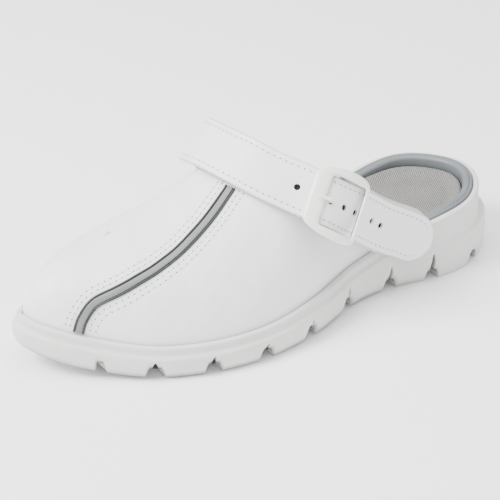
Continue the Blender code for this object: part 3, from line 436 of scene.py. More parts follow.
def soleMesh():
    half = ringStations()
    along, plan, inward = ringOf(half)
    gap, size, creaseTop = grooveShape(along)
    wide, slim = soleLook["grooveWide"] * size, soleLook["grooveNarrow"] * size
    lifted = smoothstep(0, 1, (wide - gap) / (wide - slim)) * soleLook["grooveDepth"]
    base = tread(along)
    low = base + lifted
    top = lip(along)
    heel = 1 - smoothstep(0.15, 0.3, along / clog["length"])
    drop = clog["stepDrop"] + (clog["heelStepDrop"] - clog["stepDrop"]) * heel
    chamfer = soleLook["chamferInset"] * (1 - 0.35 * heel)
    shoulder = 2 * clog["wallRound"] + stepDepth(along)
    inner = seatInset(along)
    step = top - drop
    middle = 0.5 * (base + soleLook["chamfer"] + step)
    rounding = clog["wallRound"]
    control = [
        (chamfer + 1.2 * mm, low), (chamfer, low), (rounding + 0 * low, low + soleLook["chamfer"]),
        (0 * low, np.maximum(middle, low + soleLook["chamfer"] + 1 * mm)), (rounding * 0.6 + 0 * low, step),
        (shoulder, step + clog["stepDepth"]), (shoulder, top), (inner, top), (inner, bed(along)),
        (inner + 3 * mm, bed(along)),
    ]
    control = [np.stack(pair, axis=1) for pair in control]
    radii = np.array([0, 0.8, 2.2, 4.0, 1.1, 1.4, 1.3, 0.9, 0.3, 0]) * mm
    rows = roundedRows(control, radii, 5)
    wall = [rows[0]]
    for k in range(1, len(rows)):
        length = np.linalg.norm(rows[k] - rows[k - 1], axis=1).max()
        parts = max(1, min(8, int(length / (1.3 * mm))))
        for t in np.arange(1, parts + 1) / parts:
            wall.append(rows[k - 1] * (1 - t) + rows[k] * t)
    wall = np.stack(wall, axis=1)
    height = wall[:, :, 1]
    rise = np.clip((height - base[:, None]) / creaseTop[:, None], 0, 1)
    reach = soleLook["creaseWide"] * (1 - rise) ** 0.8 + soleLook["creaseNarrow"] * rise
    inWedge = np.clip(1 - gap[:, None] / (reach * 1.15), 0, 1) * (rise < 1)
    inWedge = inWedge * (wall[:, :, 0] < shoulder[:, None] + 0.5 * mm) * smoothstep(1.0, 0.86, rise)
    depth = soleLook["creaseDepth"] * smoothstep(0, 0.7, inWedge)
    inset = wall[:, :, 0] + depth
    points = np.empty(wall.shape[:2] + (3,))
    points[:, :, :2] = plan[:, None, :] + inward[:, None, :] * inset[:, :, None]
    points[:, :, 2] = height
    # painted shade amounts: full in the side creases and low in the cross grooves, 0.45 on the chamfer at the
    # foot of the wall, none at the heel
    dark = np.clip(depth / soleLook["creaseDepth"], 0, 1) ** 0.7
    inGroove = (lifted / soleLook["grooveDepth"])[:, None] * (height < low[:, None] + 2.2 * mm)
    bevel = (1 - smoothstep(0.1, 1.0, (height - low[:, None]) / soleLook["chamfer"])) * (1 - heel)[:, None]
    dark = np.maximum(np.maximum(dark, inGroove), 0.45 * bevel)
    n, m = points.shape[:2]
    quads = gridQuads(n, m, wrapU=True).reshape(-1, 4)
    verts = [points.reshape(-1, 3)]
    values = [dark.ravel()]
    # underside: straight lines from the lateral to the medial edge, with shallow ribs inside each lug
    count, total, steps = len(half), n * m, soleLook["across"] + 1
    for level in (0, m - 1):
        sheet = sheetAcross(points, level, count, steps)
        if level == 0:
            width = np.abs(sheet[:, 0, 0] - sheet[:, -1, 0])
            t = np.linspace(0, 1, steps)
            inside = smoothstep(7 * mm, 8.5 * mm, np.minimum(t, 1 - t)[None, :] * width[:, None])
            clear = smoothstep(0, 1, (gap[:count] - wide[:count] - 1.5 * mm) / (1 * mm))[:, None]
            ribs = smoothstep(0.1, 0.5, np.sin(sheet[:, :, 0] / (7 * mm) * 2 * math.pi))
            sheet[:, :, 2] += 1.1 * mm * inside * clear * ribs
        verts.append(sheet.reshape(-1, 3))
        values.append(np.zeros(count * steps))
        quads = np.concatenate([quads, gridQuads(count, steps).reshape(-1, 4) + total])
        total += count * steps
    paintedShade = {"paintedShade": np.concatenate(values)}
    return meshFrom("sole", shown(np.concatenate(verts)), quads, paintedShade, weld=2e-6)


sole = place("moulded_sole", soleMesh(), soleFoam)
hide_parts("sole")
print("sole", len(sole.data.polygons), flush=True)

# upper: outer face from the foot line over the instep, a real wall, and a turned collar edge

upperLook = dict(
    tail=60 * mm, spineBend=180 * mm, spineEnd=229 * mm, leather=2.2 * mm, ear=9 * mm,
    outerPivot=(0.268, 0.000), innerPivot=(0.330, 0.017), pivotRise=5.2 * mm, rowsOut=92, rowsIn=26,
)
collar = np.array([
    (0.340, 0.400), (0.365, 0.440), (0.400, 0.520), (0.450, 0.625), (0.500, 0.725), (0.550, 0.825),
    (0.605, 0.905), (0.640, 0.975), (0.700, 1.130),
])


def footPoint(u):
    along = upperLook["tail"] + (clog["length"] - upperLook["tail"]) * np.sin(math.pi * u)
    return outline(along, u < 0.5), along


def footLine(u):
    small = 1e-3
    here, along = footPoint(u)
    run = unit(footPoint(np.clip(u + small, 0, 1))[0] - footPoint(np.clip(u - small, 0, 1))[0])
    return here, np.stack([run[..., 1], -run[..., 0]], axis=-1), along


def spineStation(along):
    bend, end = upperLook["spineBend"], upperLook["spineEnd"]
    reach = (clog["length"] - bend) / (end - bend)
    q = np.clip((along - bend) / (clog["length"] - bend), 0, 1)
    return np.where(along < bend, along, bend + (end - bend) * (1 - (1 - q) ** reach))


def upperSurface(u, w):
    u, w = np.broadcast_arrays(u, w)
    here, inward, along = footLine(u)
    foot = here + inward * (seatInset(along) + clog["clearance"])[..., None]
    back = spineStation(along)
    top = np.stack([column("crest", back) * clog["ballWidth"], clog["length"] / 2 - back], axis=-1)
    power = 2 / column("full", along)
    across = 1 - np.abs(np.cos(w * math.pi / 2)) ** power
    rise = np.abs(np.sin(w * math.pi / 2)) ** power
    plan = foot + (top - foot) * across[..., None]
    low = bed(clog["length"] / 2 - foot[..., 1]) + clog["clearance"]
    high = column("crown", clog["length"] / 2 - plan[..., 1]) * clog["instepHeight"]
    return np.concatenate([plan, (low + (high - low) * rise)[..., None]], axis=-1)


def upperNormal(u, w):
    small = 2e-3
    du = upperSurface(np.clip(u + small, 0, 1), w) - upperSurface(np.clip(u - small, 0, 1), w)
    dw = upperSurface(u, np.clip(w + small, 0, 1)) - upperSurface(u, np.clip(w - small, 0, 1))
    return unit(np.cross(dw, du))


def roundOf(station):
    share = (station - upperLook["tail"]) / (clog["length"] - upperLook["tail"])
    return np.arcsin(np.clip(share, 0, 1)) / math.pi


def strapHeight(along, above):
    # heights of the strap and its pivots are counted from the sole's lip
    return lip(along) + upperLook["pivotRise"] + above * clog["instepHeight"]


def collarHeight(station, pivotShare):
    # the collar's curve, then the quarter round of the ear behind it
    along = pivotShare[0] * clog["length"]
    height = strapHeight(along, pivotShare[1])
    curve = spline(collar[:, 0] * clog["length"], collar[:, 1] * clog["instepHeight"], station)
    ear = upperLook["ear"]
    arc = height + np.sqrt(np.maximum(ear**2 - (station - along) ** 2, 0))
    low = height + ear * math.sin(math.radians(15))
    join = along + ear * math.cos(math.radians(15))
    start = max(collar[0, 0] * clog["length"], join)
    blend = smoothstep(join - 1 * mm, start + 4 * mm, station)
    joined = np.where(blend > 0, arc * (1 - blend) + np.maximum(low, curve) * blend, arc)
    return np.where(station < join, joined, curve)


def collarRise(u, pivotShare):
    # the share w at which each column of the surface meets the collar, 1 where it never does
    w = np.linspace(0, 1, 500)
    points = upperSurface(u[:, None], w[None, :])
    over = points[..., 2] - collarHeight(clog["length"] / 2 - points[..., 1], pivotShare)
    above = over > 0
    first = np.where(above.any(axis=1), above.argmax(axis=1), len(w) - 1)
    first = np.maximum(first, 1)
    rows = np.arange(len(u))
    before, after = over[rows, first - 1], over[rows, first]
    t = np.where(above.any(axis=1), np.clip(before / np.minimum(before - after, -1e-12), 0, 1), 1)
    return np.where(above.any(axis=1), w[first - 1] + (w[first] - w[first - 1]) * t, 1.0)


def upperStations():
    outerStart = upperLook["outerPivot"][0] * clog["length"] - upperLook["ear"]
    innerStart = upperLook["innerPivot"][0] * clog["length"] - upperLook["ear"]
    near = np.concatenate([
        outerStart + np.linspace(0, 1, 16) ** 2 * 2 * upperLook["ear"],
        innerStart + np.linspace(0, 1, 16) ** 2 * 2 * upperLook["ear"],
    ])
    u = np.concatenate([roundOf(near), np.linspace(roundOf(outerStart + 18 * mm), 0.5, 210)])
    u = np.unique(np.round(u, 7))
    lateral = u[u >= roundOf(outerStart) - 1e-6]
    medial = u[(u >= roundOf(innerStart) - 1e-6) & (u < 0.5)]
    return lateral, medial


def upperMesh():
    lateral, medial = upperStations()
    u = np.concatenate([lateral, 1 - medial[::-1]])
    riseOut = collarRise(lateral, upperLook["outerPivot"])
    riseIn = collarRise(1 - medial, upperLook["innerPivot"])
    rise = np.concatenate([riseOut, riseIn[::-1]])
    closed = rise > 0.9999
    # rows close together near the collar and near the foot
    t = np.linspace(0, 1, upperLook["rowsOut"])
    t = t + 0.08 * np.sin(2 * math.pi * t) / (2 * math.pi)
    w = rise[:, None] * t[None, :]
    outer = upperSurface(u[:, None], w)
    normal = upperNormal(u[:, None], w)
    outer = outer + normal * upperRelief(outer)[..., None]
    tIn = np.linspace(1, 0, upperLook["rowsIn"])
    wIn = rise[:, None] * tIn[None, :]
    insideNormal = upperNormal(u[:, None], wIn)
    inner = upperSurface(u[:, None], wIn) - insideNormal * upperLook["leather"]
    # collar edge: a half round between the outer and the inner face
    thick = upperLook["leather"]
    edgeNormal = normal[:, -1]
    upward = unit(outer[:, -1] - outer[:, -4])
    centre = outer[:, -1] - edgeNormal * thick / 2
    turn = np.linspace(0, math.pi, 9)[1:-1]
    flatter = 0.42 * thick * ~closed[:, None]
    edge = [centre + edgeNormal * math.cos(a) * thick / 2 + upward * math.sin(a) * flatter for a in turn]
    loop = np.concatenate([outer, np.stack(edge, axis=1), inner], axis=1)
    n, m = loop.shape[:2]
    rowsOut = outer.shape[1]
    grid = gridQuads(n, m, wrapV=True)
    isEdge = np.zeros(m, bool)
    isEdge[rowsOut - 1:rowsOut + len(turn)] = True
    keep = ~(isEdge[None, :] & (closed[:-1] & closed[1:])[:, None])
    quads = grid[keep]
    quads = np.concatenate([quads.reshape(-1, 4)] + tubeQuads(n, m)[1:])
    cutEdge = np.zeros((n, m))
    cutEdge[:, rowsOut:rowsOut + len(turn)] = 1
    return meshFrom("upper", shown(loop.reshape(-1, 3)), quads, {"cutEdge": cutEdge}, weld=4e-6), (u, rise)


# soft hollows and lasting wrinkles of the leather, as the sum of a few slanted waves, in metres
reliefWaves = (
    (0.16, 46, 0.9, 0.3), (0.12, 31, -0.7, 1.9), (0.07, 17, 0.4, 4.1), (0.05, 12, -1.2, 2.2),
)


def upperRelief(points):
    x, y, z = points[..., 0], points[..., 1], points[..., 2]
    total = 0 * x
    for size, length, slant, phase in reliefWaves:
        total = total + size * mm * np.sin((y + slant * z + 0.5 * x) / (length * mm) * 2 * math.pi + phase)
    # held flat against the sole's lip
    return total * smoothstep(0, 14 * mm, z - lip(clog["length"] / 2 - y)) - 0.15 * mm


upperShape, (upperRound, upperRise) = upperMesh()
upper = place("leather_upper", upperShape, whiteLeather)
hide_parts("upper")
print("upper", len(upper.data.polygons), flush=True)

# footbed: a dished sheet with a thin rounded edge

bedLook = dict(
    thickness=4.5 * mm, dish=2.5 * mm, rimWidth=5.6 * mm, rimRise=1.5 * mm, rimReach=66 * mm, margin=8 * mm,
    rivetHead=10 * mm, rivetRelief=1.6 * mm,
)


def rivetRelief(plan, along):
    # the edge stands back beside the rivets' inner heads
    relief = 0 * along
    for pivotShare, side in ((upperLook["outerPivot"], 1), (upperLook["innerPivot"], -1)):
        reach = np.abs(along - pivotShare[0] * clog["length"]) / bedLook["rivetHead"]
        sameSide = (plan[:, 0] - column("crest", along) * clog["ballWidth"]) * side > 0
        relief = relief + bedLook["rivetRelief"] * (1 - smoothstep(1, 2.5, reach)) * sameSide
    return relief


def footbedMesh():
    half = clog["length"] * (1 - np.cos(np.linspace(0, math.pi, 220))) / 2
    along, plan, inward = ringOf(half)
    reach = bedLook["rimReach"] / clog["length"]
    behind = 1 - smoothstep(reach, reach + 0.1, along / clog["length"])
    besideUpper = 3 * clog["clearance"] + upperLook["leather"]
    besideRim = 3 * clog["clearance"] + bedLook["rimWidth"]
    edge = seatInset(along) + besideUpper + (besideRim - besideUpper) * behind - 0.25 * mm
    edge = edge + rivetRelief(plan, along)
    dish = bedLook["dish"] * (1 - smoothstep(0.25, 0.5, along / clog["length"]))
    full = bedLook["thickness"] + dish
    rows = [(edge, 0.4 * mm + 0 * dish), (edge, full - 0.9 * mm)]
    for t in np.linspace(0, math.pi / 2, 5)[1:]:
        rows.append((edge + 0.9 * mm * math.sin(t), full - 0.9 * mm * (1 - math.sin(t)) + 0 * dish))
    for t in np.linspace(0, 1, 12)[1:]:
        lift = bedLook["thickness"] + dish * (1 - smoothstep(0, 1, t))
        rows.append((edge + 0.9 * mm + t * bedLook["margin"], lift))
    levels = []
    for inset, lift in rows:
        moved = plan + inward * np.reshape(inset, (-1, 1))
        levels.append(np.column_stack([moved, bed(clog["length"] / 2 - moved[:, 1]) + lift]))
    points = np.stack(levels, axis=1)
    n, m = points.shape[:2]
    count = len(half)
    quads = gridQuads(n, m, wrapU=True).reshape(-1, 4)
    verts, total, steps = [points.reshape(-1, 3)], n * m, 29
    for level in (0, m - 1):
        verts.append(sheetAcross(points, level, count, steps).reshape(-1, 3))
        quads = np.concatenate([quads, gridQuads(count, steps).reshape(-1, 4) + total])
        total += count * steps
    return meshFrom("footbed", shown(np.concatenate(verts)), quads, weld=4e-6)


footbed = place("footbed", footbedMesh(), wovenBed)
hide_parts("insole")
print("footbed", len(footbed.data.polygons), flush=True)

# padded rim round the heel: a soft roll with a sewn valley, swept round the back

rimShape = np.array([
    (0.00, -9.0, 0), (0.00, 0.10, 0), (0.03, 0.45, 0), (0.10, 0.72, 0), (0.18, 0.84, 0), (0.25, 0.80, 0),
    (0.30, 0.66, 1), (0.35, 0.78, 0), (0.43, 0.95, 0), (0.54, 1.02, 0), (0.68, 0.96, 0), (0.82, 0.72, 0),
    (0.93, 0.32, 0), (0.99, -0.20, 0), (1.00, -0.9, 0), (1.00, -9.0, 0),
])


def rimMesh():
    u = np.linspace(-1, 1, 321)
    along = bedLook["rimReach"] * (1 - np.cos(math.pi * np.abs(u) / 2))
    plan = outline(along, u > 0)
    run = unit(np.gradient(plan, axis=0))
    inward = np.stack([run[:, 1], -run[:, 0]], axis=1)
    for _ in range(8):
        inward[1:-1] = unit(inward[:-2] + 2 * inward[1:-1] + inward[2:])
    pos = np.arange(len(rimShape))
    fine = np.linspace(1, len(rimShape) - 2, 49)
    sewnValley = np.interp(fine, pos, rimShape[:, 2])
    share, up = (spline(pos[1:-1], rimShape[1:-1, k], fine) for k in (0, 1))
    length = np.concatenate([[0], np.cumsum(np.linalg.norm(np.diff(plan, axis=0), axis=1))])
    pucker = 0.10 * mm * np.sin(length / (3.4 * mm) * 2 * math.pi)
    start = seatInset(along) + clog["clearance"]
    low = bed(along) + clog["clearance"]
    points = np.empty((len(u), len(fine) + 2, 3))
    near = np.exp(-((share - 0.30) / 0.10) ** 2)
    for k in range(len(fine)):
        moved = plan + inward * (start + share[k] * bedLook["rimWidth"])[:, None]
        height = lip(along) + up[k] * bedLook["rimRise"] + pucker * near[k]
        points[:, k + 1] = np.column_stack([moved, height])
    for k, side in ((0, 0.0), (len(fine) + 1, 1.0)):
        moved = plan + inward * (start + side * bedLook["rimWidth"])[:, None]
        points[:, k] = np.column_stack([moved, low])
    # painted shade along the sewn valley, strongest at its bottom
    valleyShade = np.zeros(points.shape[:2])
    valleyShade[:, 1:-1] = sewnValley[None, :] ** 2
    quads = np.concatenate(tubeQuads(*points.shape[:2]))
    return meshFrom("rim", shown(points.reshape(-1, 3)), quads, {"sewnValley": valleyShade}, weld=2e-6)


rim = place("padded_heel_rim", rimMesh(), rimLeather)
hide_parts("heel_rim")
print("rim", len(rim.data.polygons), flush=True)

# stripe with its two pipings, laid on the upper's own surface

stripeLook = dict(width=6 * mm, piping=1.2 * mm)
stripePath = np.array([
    (0.364, 0.050), (0.358, 0.160), (0.344, 0.318), (0.318, 0.432), (0.290, 0.525), (0.259, 0.585),
    (0.231, 0.628), (0.208, 0.665), (0.185, 0.707), (0.165, 0.757), (0.159, 0.774),
])


def stripeLine(count, start=0.0):
    rows = np.arange(len(stripePath))
    fine = np.linspace(start, 1, count) * rows[-1]
    return spline(rows, stripePath[:, 0], fine), spline(rows, stripePath[:, 1], fine)


def beside(u, w, distance):
    # the (u, w) of points at a distance to the side of a line on the upper
    travel = unit(np.gradient(upperSurface(u, w), axis=0))
    side = np.cross(travel, upperNormal(u, w))
    small = 1e-3
    byU = (upperSurface(u + small, w) - upperSurface(u - small, w)) / (2 * small)
    byW = (upperSurface(u, w + small) - upperSurface(u, w - small)) / (2 * small)
    steps = np.linalg.pinv(np.stack([byU, byW], axis=2)) @ side[:, :, None]
    return u + steps[:, 0, 0] * distance, w + steps[:, 1, 0] * distance


def onUpper(u, w, lift):
    points, normal = upperSurface(u, w), upperNormal(u, w)
    return points + normal * (upperRelief(points) + lift)[..., None], normal


def bandMesh(name, first, last, height, crown, corner=0.35 * mm):
    # low strip with rounded long edges; crown is the extra height of its middle
    u, w = stripeLine(260)
    width = last - first
    profile = []
    for t in np.linspace(0, math.pi / 2, 5):
        profile.append((corner * (1 - math.cos(t)), height - corner * (1 - math.sin(t))))
    middle = [(x, height) for x in np.linspace(corner, width - corner, 9)[1:-1]]
    rest = [(width - x, z) for x, z in reversed(profile)]
    profile = [(0, -0.5 * mm)] + profile + middle + rest + [(width, -0.5 * mm)]
    lines = []
    for x, z in profile:
        atU, atW = beside(u, w, first + x)
        bulge = crown * (1 - (2 * x / width - 1) ** 2) if z > 0 else 0
        lines.append(onUpper(atU, atW, z + bulge)[0])
    points = np.stack(lines, axis=1)
    quads = np.concatenate(tubeQuads(*points.shape[:2]))
    return meshFrom(name, shown(points.reshape(-1, 3)), quads, weld=2e-6)


edge = stripeLook["width"] / 2
grey = edge - stripeLook["piping"] - clog["clearance"] / 2
stripeShape = bandMesh("stripe", -grey, grey, 0.75 * mm, 0.25 * mm)
stripe = place("grey_stripe", stripeShape, stripeLeather)
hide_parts("stripe")
for side, first in (("front", -edge), ("rear", edge - stripeLook["piping"])):
    shape = bandMesh(side, first, first + stripeLook["piping"], 0.9 * mm, 0.1 * mm, corner=0.5 * mm)
    piping = place("piping_line_" + side, shape, darkPiping)
    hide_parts("piping_" + side)
print("stripe", flush=True)

# strap, its tab and the buckle

strapLook = dict(
    width=27 * mm, thickness=2.2 * mm, tabWidth=29 * mm, tabThickness=1.8 * mm, tabGap=1.6 * mm,
    hole=3.4 * mm, pitch=9.3 * mm, holes=(0, 1, 2, 3, 4, 6, 7), firstHoleRow=9, prongHole=2,
    innerRow=1, outerRow=17, loop=3.3 * mm, loopWidth=26 * mm, edgeRound=0.9 * mm,
)
strapRows = np.array([
    (-0.425, 0.284, -0.101, 184, 2), (-0.425, 0.330, 0.017, 183, 3), (-0.445, 0.405, 0.157, 182, 8),
    (-0.458, 0.467, 0.286, 177, 11), (-0.463, 0.506, 0.484, 170, 30), (-0.363, 0.566, 0.660, 121, 40),
    (-0.135, 0.579, 0.735, 82, 55), (0.056, 0.559, 0.710, 67, 49), (0.171, 0.531, 0.648, 55, 47),
    (0.273, 0.497, 0.582, 45, 41), (0.332, 0.479, 0.550, 30, 37), (0.394, 0.462, 0.523, 13, 34),
    (0.411, 0.437, 0.465, -1, 24), (0.405, 0.410, 0.398, -8, 11), (0.361, 0.360, 0.259, -13, 0),
    (0.343, 0.335, 0.182, -14, -1), (0.341, 0.304, 0.095, -10, 0), (0.343, 0.268, 0.000, -5, -1),
    (0.360, 0.220, -0.151, -2, 0),
])


class Route:
    # the strap's middle line with the direction its face looks at each length along it
    def __init__(self):
        spot = np.column_stack([
            strapRows[:, 0] * clog["ballWidth"], clog["length"] / 2 - strapRows[:, 1] * clog["length"],
            strapHeight(strapRows[:, 1] * clog["length"], strapRows[:, 2]),
        ])
        chord = np.concatenate([[0], np.cumsum(np.linalg.norm(np.diff(spot, axis=0), axis=1))])
        fine = np.linspace(0, chord[-1], 1200)
        self.spot = np.column_stack([spline(chord, spot[:, k], fine) for k in range(3)])
        self.turn = np.radians(spline(chord, strapRows[:, 3], fine))
        self.tilt = np.radians(spline(chord, strapRows[:, 4], fine))
        self.run = np.concatenate([[0], np.cumsum(np.linalg.norm(np.diff(self.spot, axis=0), axis=1))])
        self.length = self.run[-1]
        self.rowRun = np.interp(chord, fine, self.run)

    def at(self, s):
        return np.column_stack([np.interp(s, self.run, self.spot[:, k]) for k in range(3)])

    def frame(self, s):
        s = np.atleast_1d(np.asarray(s, float))
        step = 0.5 * mm
        ahead, behind = np.clip(s + step, 0, self.length), np.clip(s - step, 0, self.length)
        tangent = unit(self.at(ahead) - self.at(behind))
        turn, tilt = np.interp(s, self.run, self.turn), np.interp(s, self.run, self.tilt)
        face = np.column_stack([np.cos(tilt) * np.cos(turn), -np.cos(tilt) * np.sin(turn), np.sin(tilt)])
        face = unit(face - tangent * np.sum(face * tangent, axis=1, keepdims=True))
        return self.at(s), tangent, np.cross(tangent, face), face

    def hole(self, index):
        return self.rowRun[strapLook["firstHoleRow"]] + index * strapLook["pitch"]

    def spotFace(self, s):
        spot, _, _, face = self.frame(s)
        return spot[0], face[0]


route = Route()
barRun = route.hole(strapLook["prongHole"] + 0.5)
barDepth = strapLook["thickness"] + clog["clearance"] + strapLook["loop"]


def bandRows(start, end, radius, roundStart, roundEnd, pitch=0.9 * mm):
    arc = 1 - np.cos(np.linspace(0.03, 1, 26) * math.pi / 2)
    first = start + radius * arc if roundStart else np.array([start])
    last = end - radius * arc[::-1] if roundEnd else np.array([end])
    middle = np.linspace(first[-1], last[0], int((last[0] - first[-1]) / pitch))[1:-1]
    s = np.concatenate([first, middle, last])
    share = np.ones(len(s))
    if roundStart:
        share *= endRound(s - start, radius, 2.0)
    if roundEnd:
        share *= endRound(end - s, radius, 2.0)
    return s, share


def beltMesh(name, s, half, outer, inner, pillow, edgeRound, sideSteps=34):
    # belt section: flat faces, rounded edges, and a face that swells between the two stitch rows
    spot, _, edgeward, face = route.frame(s)
    half, outer, inner = (np.broadcast_to(v, s.shape) for v in (half, outer, inner))
    thick = inner - outer
    r = np.minimum(edgeRound, thick * 0.48)
    rows = []

    def add(acrossAt, depthAt):
        rows.append(spot + edgeward * acrossAt[:, None] - face * depthAt[:, None])

    swell = np.minimum(pillow, 0.5 * half)
    t = np.linspace(-1, 1, sideSteps)
    flat = np.maximum(half - r, 0)
    for k in t:
        inside = abs(k)
        sewnValley = np.exp(-(((half - 3.3 * mm) - abs(k) * flat) / (0.9 * mm)) ** 2)
        rise = swell * (1 - smoothstep(0.55, 0.95, inside)) - 0.16 * mm * sewnValley * (half > 6 * mm)
        add(k * flat, outer - rise)
    for a in np.linspace(0, math.pi / 2, 5)[1:]:
        add(flat + r * math.sin(a), outer + r * (1 - math.cos(a)))
    for a in np.linspace(0, math.pi / 2, 5):
        add(flat + r * math.cos(a), inner - r * (1 - math.sin(a)))
    for k in t[::-2][1:-1]:
        add(k * flat, inner)
    for a in np.linspace(0, math.pi / 2, 5)[::-1]:
        add(-(flat + r * math.cos(a)), inner - r * (1 - math.sin(a)))
    for a in np.linspace(0, math.pi / 2, 5)[1:][::-1]:
        add(-(flat + r * math.sin(a)), outer + r * (1 - math.cos(a)))
    points = np.stack(rows, axis=1)
    n, m = points.shape[:2]
    cut = np.zeros((n, m))
    cut[:, sideSteps:sideSteps + 9] = 1
    cut[:, -9:] = 1
    quads = gridQuads(n, m, wrapV=True).reshape(-1, 4)
    return closedMesh([meshFrom(name, shown(points.reshape(-1, 3)), quads, {"cutEdge": cut}, weld=2e-6)])


def drill(mesh, tools):
    # cuts the tool meshes out of a mesh and returns the result
    body = bpy.data.objects.new("drill body", mesh)
    bpy.context.scene.collection.objects.link(body)
    made = [body]
    for tool in tools:
        pin = bpy.data.objects.new("drill pin", tool)
        bpy.context.scene.collection.objects.link(pin)
        made.append(pin)
        step = body.modifiers.new("cut", "BOOLEAN")
        step.operation, step.solver, step.object = "DIFFERENCE", "EXACT", pin
    bpy.context.view_layer.update()
    result = bpy.data.meshes.new_from_object(body.evaluated_get(bpy.context.evaluated_depsgraph_get()))
    for thing in made:
        bpy.data.objects.remove(thing)
    return result


def pinMesh(centre, axis, radius, depth, segments=40):
    mesh = bpy.data.meshes.new("pin")
    bm = bmesh.new()
    turn = Vector(axis).to_track_quat("Z", "Y").to_matrix().to_4x4()
    bmesh.ops.create_cone(
        bm, cap_ends=True, segments=segments, radius1=radius, radius2=radius, depth=depth,
        matrix=Matrix.Translation(Vector(centre)) @ turn,
    )
    bm.to_mesh(mesh)
    bm.free()
    return mesh


def strapMesh():
    s, share = bandRows(0, route.length, strapLook["width"] / 2, True, True)
    half = share * strapLook["width"] / 2
    pillow = 0.45 * mm
    body = beltMesh("strap", s, half, 0 * s, strapLook["thickness"] + 0 * s, pillow, strapLook["edgeRound"])
    pins = []
    for index in strapLook["holes"]:
        spot, face = route.spotFace(route.hole(index))
        pins.append(pinMesh(shown(spot), face, strapLook["hole"] / 2, 10 * mm))
    spot, face = route.spotFace(route.rowRun[strapLook["innerRow"]])
    pins.append(pinMesh(shown(spot), face, 2.3 * mm, 10 * mm))
    return drill(body, pins)


class Axes:
    # the buckle's own axes: along the strap, across it, and out from its face
    def __init__(self):
        near = route.frame(route.hole(strapLook["prongHole"] - 1))[0][0]
        far = route.frame(route.hole(strapLook["prongHole"] + 2))[0][0]
        self.origin, _, edgeward, _ = (v[0] for v in route.frame(barRun))
        self.along = unit(far - near)
        self.across = unit(-edgeward + self.along * np.dot(edgeward, self.along))
        self.out = np.cross(self.along, self.across)

    def place(self, p, q, h):
        p, q, h = (np.asarray(v, float)[..., None] for v in (p, q, h))
        return self.origin + p * self.along + q * self.across + h * self.out


axes = Axes()


def tabMesh():
    loop, thick = strapLook["loop"], strapLook["tabThickness"]
    layer = strapLook["thickness"] + strapLook["tabGap"]
    tabWidth, loopWidth = strapLook["tabWidth"], strapLook["loopWidth"]
    rows, share = bandRows(barRun + 2 * loop, route.length - 1.5 * mm, tabWidth / 2, False, True)
    turn = np.linspace(-0.99, 1, 40)
    swell = loop * np.sqrt(np.maximum(1 - turn**2, 0))
    halfThick = np.maximum(swell, np.where(turn > 0, thick / 2, 0.25 * mm))
    middle = barDepth + (layer + thick / 2 - barDepth) * smoothstep(0, 1, turn)
    s = np.concatenate([barRun + turn * loop, rows])
    half = np.concatenate([
        loopWidth / 2 + (tabWidth - loopWidth) / 2 * smoothstep(0.9, 1, turn), share * tabWidth / 2,
    ])
    outer = np.concatenate([middle - halfThick, layer + 0 * rows])
    inner = np.concatenate([middle + halfThick, layer + thick + 0 * rows])
    body = beltMesh("tab", s, half, outer, inner, 0.0, 0.8 * mm)
    centre = shown(axes.place(0, 0, -barDepth))
    pins = [
        pinMesh(centre, axes.across, 1.6 * mm, 60 * mm),
        pinMesh(centre, axes.across, loop + 0.9 * mm, 3.0 * mm),
    ]
    spot, face = route.spotFace(route.rowRun[strapLook["outerRow"]])
    pins.append(pinMesh(shown(spot), face, 2.3 * mm, 16 * mm))
    return drill(body, pins)


def holeCups():
    # a dark disc low in each punched hole, for the shade between strap and tab
    radius, depth, thick = strapLook["hole"] / 2 * 0.99, 0.9 * mm, 0.3 * mm
    bm = bmesh.new()
    for index in strapLook["holes"]:
        spot, face = route.spotFace(route.hole(index))
        bm.from_mesh(pinMesh(shown(spot - face * depth), face, radius, thick))
    mesh = bpy.data.meshes.new("cups")
    bm.to_mesh(mesh)
    bm.free()
    return mesh


strap = place("heel_strap", strapMesh(), whiteLeather)
cups = place(
    "strap_hole_shade", holeCups(), plainShade("hole shade", (0.004, 0.0042, 0.0045), 0.9)
)
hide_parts("strap")
tab = place("strap_end_tab", tabMesh(), whiteLeather)
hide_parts("strap_tab")
print("strap", len(strap.data.polygons), flush=True)

buckleLook = dict(
    length=32.5 * mm, bulge=2.8 * mm, flare=1.1 * mm, thickness=2.6 * mm, backBar=8.4 * mm,
    frontBar=2.4 * mm, bar=2.6 * mm, seat=0.3 * mm, arch=3 * mm, arm=1.9 * mm, prong=1.05 * mm,
)


def frameLift(p):
    return buckleLook["seat"] - buckleLook["arch"] * (p / (buckleLook["length"] / 2)) ** 2


def squarish(count, power):
    # a square with round corners: the reach along each direction is one over the power norm
    turn = np.arange(count) / count * 2 * math.pi
    reach = (np.abs(np.cos(turn)) ** power + np.abs(np.sin(turn)) ** power) ** (-1 / power)
    return reach * np.cos(turn), reach * np.sin(turn)


